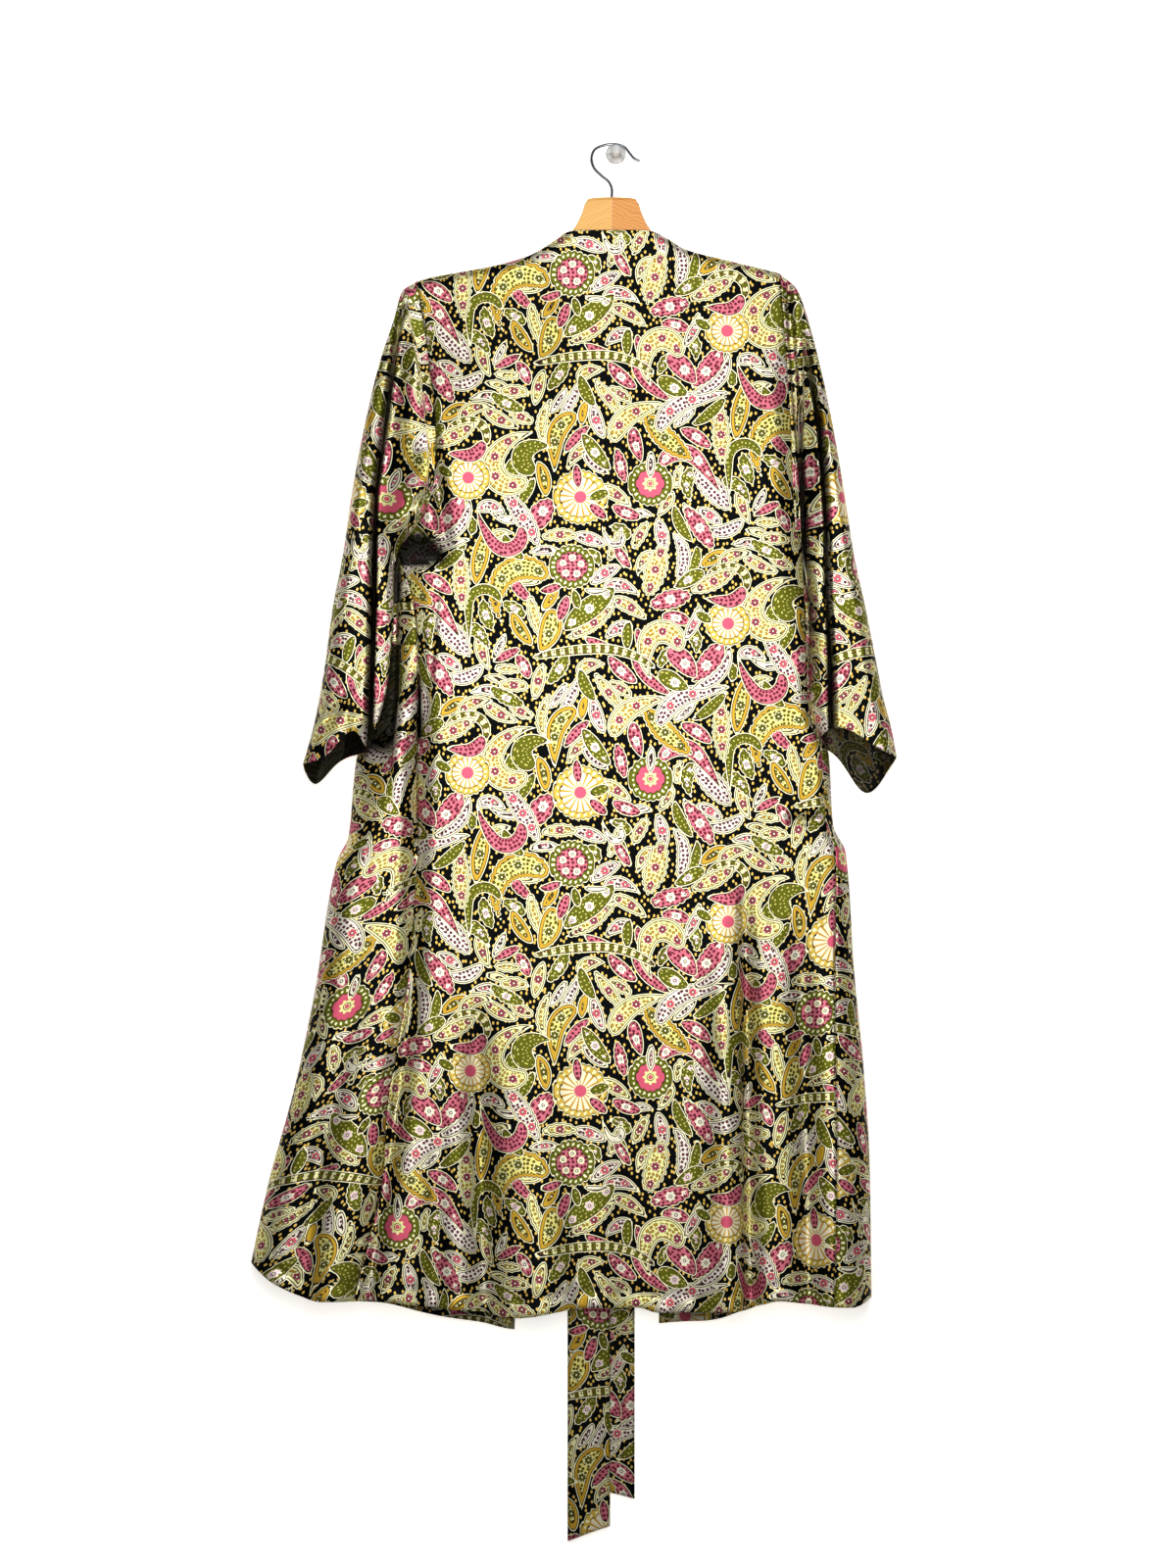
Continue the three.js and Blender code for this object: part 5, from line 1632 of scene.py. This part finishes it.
@dataclass
class Satin:
    """Printed satin: its print from the sheet's own attributes, painted shade in folds and inside, a soft
    gloss and fine wrinkles.
    """

    roughness: float = 0.46
    metal: float = 0.36
    specular: float = 0.08
    motif_edge: float = 1.1      # how far outside the stroke its line ends
    lobes: float = 0.45          # how closely the lobes of a waved edge follow one another
    drop: float = 0.235          # size of the ground's gold drops, in cells
    painted_shade_share: float = 0.94        # share of painted shade at the foot of a fold

    def __post_init__(self) -> None:
        """Build the groups and the material."""
        self.material = self.dressed()

    def topmost(self) -> bpy.types.NodeTree:
        """Group that lays one motif over what is below it.

        Returns:
            The group.
        """
        group, tree, enter, leave = node_group(
            "topmost motif", {"Below": "Vector", "Below Dye": "Vector", "Place": "Vector", "Dye": "Vector"},
            {"Place": "Vector", "Dye": "Vector"})
        along, across, outside = tree.split(enter["Place"])
        height = tree.split(enter["Dye"])[1]
        lobes = tree.math("SUBTRACT", 1.0, tree.math("ABSOLUTE", tree.wave(along, self.lobes)))
        edge = tree.math("MULTIPLY_ADD", lobes, height, outside)
        shows = tree.less(edge, self.motif_edge)
        tree.put(leave["Place"], tree.choose(shows, enter["Below"], tree.join(along, across, edge)))
        tree.put(leave["Dye"], tree.choose(shows, enter["Below Dye"], enter["Dye"]))
        return group

    def ground(self) -> bpy.types.NodeTree:
        """Group of the black ground with its small gold drops.

        Returns:
            The group.
        """
        group, tree, enter, leave = node_group("dotted ground", {"Flat": "Vector"}, {"Color": "Color"})
        squeezed = tree.turned(enter["Flat"], rotation=(0, 0, 0.5), scale=(1.25, 0.9, 1))
        drop = tree.less(tree.cells(squeezed, scale=132.0, randomness=0.8), self.drop)
        tree.put(leave["Color"], tree.blend(drop, GROUND, GOLD))
        return group

    def filling(self) -> bpy.types.NodeTree:
        """Group of a motif's own colours over the ground.

        Returns:
            The group.
        """
        group, tree, enter, leave = node_group(
            "motif filling", {"Place": "Vector", "Dye": "Vector", "Ground": "Color"}, {"Color": "Color"})
        filling = Filling(tree, enter["Place"], enter["Dye"])
        filling.dotted()
        filling.flower_heads()
        filling.domed()
        filling.threaded()
        filling.bordered()
        filling.draw(tree.more(filling.edge, self.motif_edge), enter["Ground"])
        tree.put(leave["Color"], filling.colour)
        return group

    def dressed(self) -> bpy.types.Material:
        """The satin material.

        Returns:
            The material.
        """
        finish = Finish("printed satin")
        tree = finish.tree
        flat = tree.node("UVMap", uv_map="cloth").outputs[0]
        top = self.topmost()
        place = tree.join(0.0, 0.0, FAR_OUTSIDE)
        dye = tree.join(0.0, 0.0, 0.0)
        for k in reversed(range(SLOTS)):
            layer = tree.group(top, Below=place, Below_Dye=dye, Place=tree.attribute(f"motif_{k}", "Vector"),
                               Dye=tree.attribute(f"dye_{k}", "Vector"))
            place = layer.outputs["Place"]
            dye = layer.outputs["Dye"]
        ground = tree.group(self.ground(), Flat=flat).outputs[0]
        colour = tree.group(self.filling(), Place=place, Dye=dye, Ground=ground).outputs[0]
        # the wrong side is darkened, partly its duller colour and partly painted shade inside the gown
        colour = tree.blend(tree.attribute("wrong_side_and_shade"), colour, INSIDE_DULL_AND_SHADED)
        # painted shade at the foot of deep folds and tucks, and on the tie ends
        colour = tree.blend(tree.times(tree.attribute("deep"), self.painted_shade_share), colour, PAINTED_FOLD_SHADE)
        finish.set(Base_Color=colour, Roughness=self.roughness, Metallic=self.metal,
                   Specular_IOR_Level=self.specular)
        wrinkles = tree.noise(tree.turned(flat, scale=(1.0, 0.35, 1.0)), scale=16.0, detail=3.0)
        finish.bump(wrinkles, strength=0.35, distance=0.006)
        return finish.material


def lay_print(mesh: bpy.types.Mesh, corners: Array) -> None:
    """Give a mesh of four-cornered facets its flat places and the motifs that each facet shows.

    Args:
        mesh: The mesh.
        corners: Flat place of each facet's corners, in millimetres.
    """
    cloth = mesh.uv_layers.new(name="cloth")
    cloth.uv.foreach_set("vector", (corners * MM).ravel())
    place, dye = Repeat.lay(corners)
    for k in range(SLOTS):
        add_layer(mesh, f"motif_{k}", "FLOAT_VECTOR", "CORNER", place[k])
        add_layer(mesh, f"dye_{k}", "FLOAT_VECTOR", "FACE", dye[k])


@cache
def pine_grain() -> bpy.types.NodeTree:
    """Group of the late wood's rings and the fibres between them.

    Returns:
        The group.
    """
    group, tree, enter, leave = node_group(
        "pine grain", {"Place": "Vector", "Rings": "Float", "Wander": "Float", "Lines": "Float"},
        {"Share": "Float", "Fibre": "Float"})
    place = enter["Place"]
    x, y, z = tree.split(place)
    rings = tree.math("ADD", tree.times(z, enter["Rings"]),
                      tree.times(tree.noise(place, scale=30.0, detail=2.0), enter["Wander"]))
    late = tree.math("POWER", tree.math("FRACT", rings), 3.0)
    fibres = tree.join(tree.times(x, 12.0), tree.times(y, 200.0), tree.times(z, 260.0))
    fibre = tree.noise(fibres, scale=1.0, detail=3.0)
    tree.put(leave["Share"], tree.math("MULTIPLY_ADD", late, enter["Lines"], tree.times(fibre, 0.35),
                                       clamp=True))
    tree.put(leave["Fibre"], fibre)
    return group


@cache
def handling_marks() -> bpy.types.NodeTree:
    """Group of the faint marks that hands leave.

    Returns:
        The group.
    """
    group, tree, enter, leave = node_group("handling marks", {"Place": "Vector", "Scale": "Float"},
                                           {"Worn": "Float", "Height": "Float"})
    marks = tree.noise(enter["Place"], enter["Scale"], detail=4.0, roughness=0.6)
    tree.put(leave["Worn"], tree.math("MULTIPLY_ADD", marks, 2.2, -0.8, clamp=True))
    tree.put(leave["Height"], marks)
    return group


@dataclass(frozen=True)
class Wood:
    """Pale pine whose grain runs down and out from the mitre."""

    name: str
    light: Colour
    dark: Colour
    slope: float                 # turn of the grain
    lines: float                 # strength of the late wood
    ring_width: float = 4.6      # millimetres from one ring to the next
    wander: float = 5.0          # how far the rings stray, in rings

    def material(self) -> bpy.types.Material:
        """The wood material.

        Returns:
            The material.
        """
        finish = Finish(self.name)
        tree = finish.tree
        place = tree.turned(tree.node("TexCoord").outputs["Object"], (0, self.slope, 0))
        grain = tree.group(pine_grain(), Place=place, Rings=1 / (self.ring_width * MM),
                           Wander=self.wander, Lines=self.lines).outputs
        finish.set(Base_Color=tree.blend(grain["Share"], self.light, self.dark),
                   Roughness=tree.math("MULTIPLY_ADD", grain["Fibre"], 0.15, 0.42))
        finish.bump(grain["Fibre"], strength=0.2, distance=0.0005)
        return finish.material


@dataclass(frozen=True)
class Plain:
    """A metal or enamel with faint handling marks."""

    name: str
    colour: Colour
    worn: Colour
    metal: float
    roughness: float
    scale: float                 # of the marks

    def material(self) -> bpy.types.Material:
        """The material.

        Returns:
            The material.
        """
        finish = Finish(self.name)
        tree = finish.tree
        marks = tree.group(handling_marks(), Place=tree.node("TexCoord").outputs["Object"],
                           Scale=self.scale).outputs
        finish.set(Base_Color=tree.blend(marks["Worn"], self.colour, self.worn), Metallic=self.metal,
                   Roughness=tree.math("MULTIPLY_ADD", marks["Worn"], 0.14, self.roughness))
        finish.bump(marks["Height"], strength=0.15, distance=0.0003)
        return finish.material


# ---- the pieces ------------------------------------------------------------------------------
LEFT_SLEEVE = Sleeve(
    side=Side.LEFT,
    stations=[
        (-252, -166, -261, -473, -42, -13, -33), (-262, -200, -262, -478, -52, -12, -36),
        (-278, -250, -262, -487, -60, -12, -39), (-293, -315, -261, -500, -66, -13, -43),
        (-308, -395, -261, -519, -71, -14, -48), (-320, -477, -261, -547, -74, -16, -54),
        (-332, -540, -263, -581, -76, -18, -58), (-340, -600, -266, -616, -77, -20, -59),
        (-349, -655, -272, -650, -77, -22, -60), (-361, -704, -283, -686, -76, -24, -60),
        (-367, -724, -292, -711, -76, -25, -61),
    ],
    near=[Body.arch],
    tucks=[
        crease(5, 44, (-249, -180, 0), (-257, -207, 0.8), (-264, -262, 1), (-273, -337, 0.8),
               (-282, -405, 0.8), (-284, -471, 1), (-286, -581, 1), (-289, -690, 1), (-292, -760, 1),
               form=Form.SHARP, swallows=34),
        crease(7, 15, (-282, -430, 0), (-283, -500, 1), (-285, -581, 1), (-288, -760, 1), form=Form.STEP),
        crease(16, -6, (-292, -420, 0), (-330, -760, 1)),
        crease(10, -6, (-246, -190, 0), (-254, -260, 1), (-262, -340, 1), (-268, -420, 0)),
        crease(9, 7, (-305, -640, 0), (-330, -668, 1), (-352, -690, 0)),
    ],
    lag=(26, 0.15, 0.3),
    rise=(28, 0.78, 0.3),
    laps=1.0,
    # more painted shade in the left cuff's opening
    inside=0.95,
)
RIGHT_SLEEVE = Sleeve(
    side=Side.RIGHT,
    stations=[
        (213, -163, 220.6, -474, -42, -13, -32), (224, -192, 221.6, -479, -50, -10, -31),
        (238, -245, 222.8, -489, -56, -8, -30), (251, -305, 224.4, -503, -60, -7, -29),
        (266, -390, 226, -523, -64, -6, -28), (280, -480, 227.6, -549, -66, -6, -27),
        (293, -540, 227, -579, -67, -6, -26), (304, -595, 226.5, -609, -67, -6, -26),
        (314, -645, 225.5, -640, -66, -6, -26), (324, -684, 229, -672, -65, -6, -26),
        (330, -716, 237, -702, -64, -6, -26),
    ],
    near=[],
    tucks=[
        crease(5, 50, (203, -160, 0.3), (208, -240, 0.7), (213, -310, 1), (220, -402, 1), (224, -517, 1),
               (228, -560, 0.5), (229, -640, 0), form=Form.SHARP, swallows=14),
        crease(5, 44, (221, -215, 0), (228, -260, 0.6), (239, -320, 1), (244, -392, 1), (247, -450, 0.8),
               (248, -520, 0.7), (252, -610, 1), (255, -760, 1), form=Form.SHARP, swallows=22),
        crease(-7, 14, (246, -520, 0), (250, -600, 0.6), (253, -667, 1), (256, -760, 1), form=Form.STEP),
    ],
    lag=(47, 0.36, 0.3),
    rise=(24, 0.72, 0.42),
    laps=0.0,
    inside=0.85,
)


@dataclass
class Gown:
    """The gown and its sash, cut, hung and dressed."""

    satin: Satin = field(default_factory=Satin)
    pieces: Pieces = field(default_factory=Pieces)
    tie: Tie = field(default_factory=Tie)
    wood: tuple[str, str] = ("hanger_wood_left", "hanger_wood_right")
    repeat_at: Pair = (102.0, 1184.0)    # where the charted repeat lies on the back
    sleeve_repeat: Pair = (60.0, 1044.0)
    painted_tie_shade: float = 12.5      # painted shade on the tie ends, as if they hung in the gown's shade in a shallow fold
    painted_tuck_shade: float = 0.65     # painted shade of a tuck, dark only near its foot
    open_inside: float = 0.35    # less painted shade on the fronts' wrong side, which lies open to the light at the hem

    def finish(self, piece: bpy.types.Object, node: str) -> bpy.types.Object:
        """Dress a piece and let it stand for its node.

        Args:
            piece: The piece.
            node: The frame's node that it stands for.

        Returns:
            The piece.
        """
        piece.data.materials.clear()
        piece.data.materials.append(self.satin.material)
        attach(piece, "root")
        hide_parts(node)
        log.info("%s: %d facets", piece.name, len(piece.data.polygons))
        return piece

    def shade(self, points: Array) -> Array:
        """How far each point of the body lies down a fold whose foot gets painted shade."""
        return relief(self.pieces.body.painted_shade_folds, points[..., 0], points[..., 2])

    def make(self) -> None:
        """Build every piece of cloth."""
        back = self.pieces.back()
        fronts = {side: self.pieces.front(side) for side in Side}
        self.back(back)
        self.fronts(fronts)
        self.sleeves(back, fronts)
        self.sash(fronts)

    def back(self, points: Array) -> None:
        """Build the back.

        Args:
            points: Its grid.
        """
        sheet = Sheet("back_panel", points, flattened(points, self.pieces.back_columns // 2), 1,
                      phase=self.repeat_at, deep=self.shade(points))
        panel = self.finish(sheet.build(), "back")

    def fronts(self, fronts: dict[Side, Array]) -> None:
        """Build the fronts.

        Args:
            fronts: Their grids.
        """
        for side, cut, area in ((Side.LEFT, (0.50, 1.27), 0.367), (Side.RIGHT, (0.35, 1.27), 0.295)):
            word = side.name.lower()
            points = fronts[side]
            widest = np.argmax(np.abs(points[..., 0]), axis=1)[:, None]
            outer = np.arange(points.shape[1]) < widest
            sheet = Sheet(f"front_{word}_panel", points, flattened(points, -1), side.value,
                          phase=(40.0 * side.value, 1100.0), deep=outer * self.shade(points),
                          inside=self.open_inside)
            panel = self.finish(sheet.build(), f"front_{word}")

    def sleeves(self, back: Array, fronts: dict[Side, Array]) -> None:
        """Build the sleeves.

        Args:
            back: Grid of the back.
            fronts: Grids of the fronts.
        """
        for sleeve, cut, area in ((LEFT_SLEEVE, (0.44, 0.60), 0.137), (RIGHT_SLEEVE, (0.46, 0.60), 0.137)):
            word = sleeve.side.name.lower()
            rings, plain = self.pieces.sleeve(sleeve, back, fronts[sleeve.side])
            sheet = Sheet(f"sleeve_{word}_panel", rings, sleeve.flat(plain), -sleeve.side.value, ring=True,
                          phase=self.sleeve_repeat, inside=sleeve.inside,
                          deep=self.painted_tuck_shade * np.linalg.norm(rings - plain, axis=2))
            panel = self.finish(sheet.build(), f"sleeve_{word}")

    def sash(self, fronts: dict[Side, Array]) -> None:
        """Build the tie's two bands, its knot and its two ends.

        Args:
            fronts: Grids of the fronts, on which the bands lie.
        """
        knot = self.finish(self.tie.knotted(), "belt_knot")
        for side, length in ((Side.LEFT, 0.31), (Side.RIGHT, 0.27)):
            word = side.name.lower()
            points = self.tie.band(self.pieces, fronts[side], side)
            band_piece = Sheet(f"sash_{word}", points, flattened(points, -1), side.value,
                               wall=self.tie.thickness, phase=(90.0, 600.0), inside=0.0).build()
            self.finish(band_piece, f"belt_{word}")
        ends = {"left": self.tie.end(top_x=-27, foot_x=-32, y=-17, foot=-1633, slant=9, sway=3),
                "right": self.tie.end(top_x=-10, foot_x=-3, y=-10.5, foot=-1587, slant=-6, sway=2)}
        for (word, points), across in zip(ends.items(), (70.0, 190.0)):
            end = Sheet(f"sash_end_{word}", points, flattened(points, self.tie.end_columns // 2), 1,
                        wall=self.tie.thickness, phase=(across, 1700.0), inside=0.0,
                        deep=self.painted_tie_shade).build()
            self.finish(end, f"belt_end_{word}")


class Hanger:
    """The wooden hanger, its wire hook and the wall hook, which keep the frame's own shapes."""

    finishes: ClassVar[dict[str, Wood | Plain]] = {
        "hanger_wood_left": Wood("pale pine", tint(255, 208, 124), tint(238, 172, 92), slope=0.42,
                                 lines=0.35),
        "hanger_wood_right": Wood("warm pine", tint(252, 188, 104), tint(214, 134, 62), slope=-0.42,
                                  lines=0.6),
        "hanger_hook": Plain("bright steel wire", tint(176, 180, 186), tint(140, 146, 154), metal=1.0,
                             roughness=0.24, scale=220.0),
        "wall_hook": Plain("white enamel", tint(222, 222, 220), tint(190, 190, 188), metal=0.0,
                           roughness=0.3, scale=90.0),
    }

    def dress(self) -> None:
        """Give each node its finish."""
        for name, finish in self.finishes.items():
            material = finish.material()
            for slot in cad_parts[name].material_slots:
                slot.material = material
            log.info("%s: %s", name, finish.name)


# ---- studio ----------------------------------------------------------------------------------
@dataclass
class Studio:
    """White wall, pale floor, soft light from the front, and the camera."""

    eye: Triple = (-0.033, -4.5, -0.7475)
    frame_height: float = 1.84
    gown_depth: float = 0.05
    sensor: float = 36.0
    clip: float = 50.0
    wall_at: float = 0.0006      # just behind the wall hook's plate
    wall_top: float = 2.2
    half_width: float = 3.0
    floor_at: float = -1.78
    floor_reach: Pair = (-4.0, 1.5)
    wall_paint: Colour = (0.86, 0.852, 0.836, 1)
    floor_paint: Colour = (0.4, 0.39, 0.37, 1)
    glow: float = 0.7            # of the wall, which is brighter than the lamps make it
    contrast: float = 0.8
    lamp_spread: float = 100.0
    room_light: float = 0.04

    def paint(self, name: str, corners: list[Triple], colour: Colour) -> Finish:
        """Set up a painted sheet of the backdrop.

        Args:
            name: Its name.
            corners: Its four corners.
            colour: Its paint.

        Returns:
            Its finish.
        """
        mesh = bpy.data.meshes.new(name)
        mesh.from_pydata(corners, [], [(0, 1, 2, 3)])
        sheet = bpy.data.objects.new(name, mesh)
        bpy.context.collection.objects.link(sheet)
        finish = Finish(f"{name} paint")
        finish.set(Base_Color=colour, Roughness=0.9, Emission_Color=colour)
        mesh.materials.append(finish.material)
        return finish

    def backdrop(self) -> None:
        """Wall and floor, the wall open from behind."""
        w, y, z, top = self.half_width, self.wall_at, self.floor_at, self.wall_top
        near, far = self.floor_reach
        wall = self.paint("wall", [(-w, y, z), (w, y, z), (w, y, top), (-w, y, top)], self.wall_paint)
        self.paint("floor", [(-w, near, z), (w, near, z), (w, far, z), (-w, far, z)], self.floor_paint)
        wall.set(Emission_Strength=self.glow)
        open_behind = wall.tree.node("MixShader", wall.tree.node("NewGeometry").outputs["Backfacing"],
                                     wall.shader.outputs[0], wall.tree.node("BsdfTransparent").outputs[0])
        wall.tree.put(wall.nodes["Material Output"].inputs[0], open_behind.outputs[0])

    def lamp(self, name: str, at: Triple, to: Triple, size: Pair, watts: float) -> None:
        """A soft oblong lamp.

        Args:
            name: Its name.
            at: Its place.
            to: The place it faces.
            size: Its sides.
            watts: Its power.
        """
        light = bpy.data.lights.new(name, "AREA")
        light.shape = "RECTANGLE"
        light.size, light.size_y = size
        light.energy = watts
        light.spread = math.radians(self.lamp_spread)
        lamp = bpy.data.objects.new(name, light)
        lamp.location = at
        lamp.rotation_euler = (Vector(to) - Vector(at)).to_track_quat("-Z", "Y").to_euler()
        bpy.context.collection.objects.link(lamp)

    def light(self) -> None:
        """Lamps and the room's own light."""
        self.lamp("window", at=(-0.08, -2.6, -0.5), to=(-0.03, 0, -0.7), size=(0.6, 1.5), watts=14.5)
        self.lamp("skylight", at=(0.25, -2.1, 0.8), to=(0.0, 0, -0.6), size=(0.3, 0.3), watts=5.5)
        world = bpy.data.worlds.new("room")
        world.use_nodes = True
        background = world.node_tree.nodes["Background"]
        background.inputs[0].default_value = (1.0, 0.99, 0.97, 1)
        background.inputs[1].default_value = self.room_light
        bpy.context.scene.world = world

    def camera(self) -> None:
        """The camera, level, straight at the wall."""
        data = bpy.data.cameras.new("camera")
        data.sensor_width = self.sensor
        data.lens = self.sensor * (-self.eye[1] - self.gown_depth) / self.frame_height
        data.clip_end = self.clip
        camera = bpy.data.objects.new("camera", data)
        camera.location = self.eye
        camera.rotation_euler = (math.pi / 2, 0, 0)
        bpy.context.collection.objects.link(camera)
        bpy.context.scene.camera = camera
        bpy.context.scene.view_settings.view_transform = "Standard"
        bpy.context.scene.view_settings.gamma = self.contrast

    def make(self) -> None:
        """Set up the whole studio."""
        self.camera()
        self.backdrop()
        self.light()


def main() -> None:
    """Build everything."""
    logging.basicConfig(level=logging.INFO, format="%(message)s")
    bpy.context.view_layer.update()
    Repeat.fill_gaps()
    log.info("motifs in the repeat: %d", len(Repeat.motifs))
    Studio().make()
    Gown().make()
    Hanger().dress()


if __name__ == "__main__":
    main()
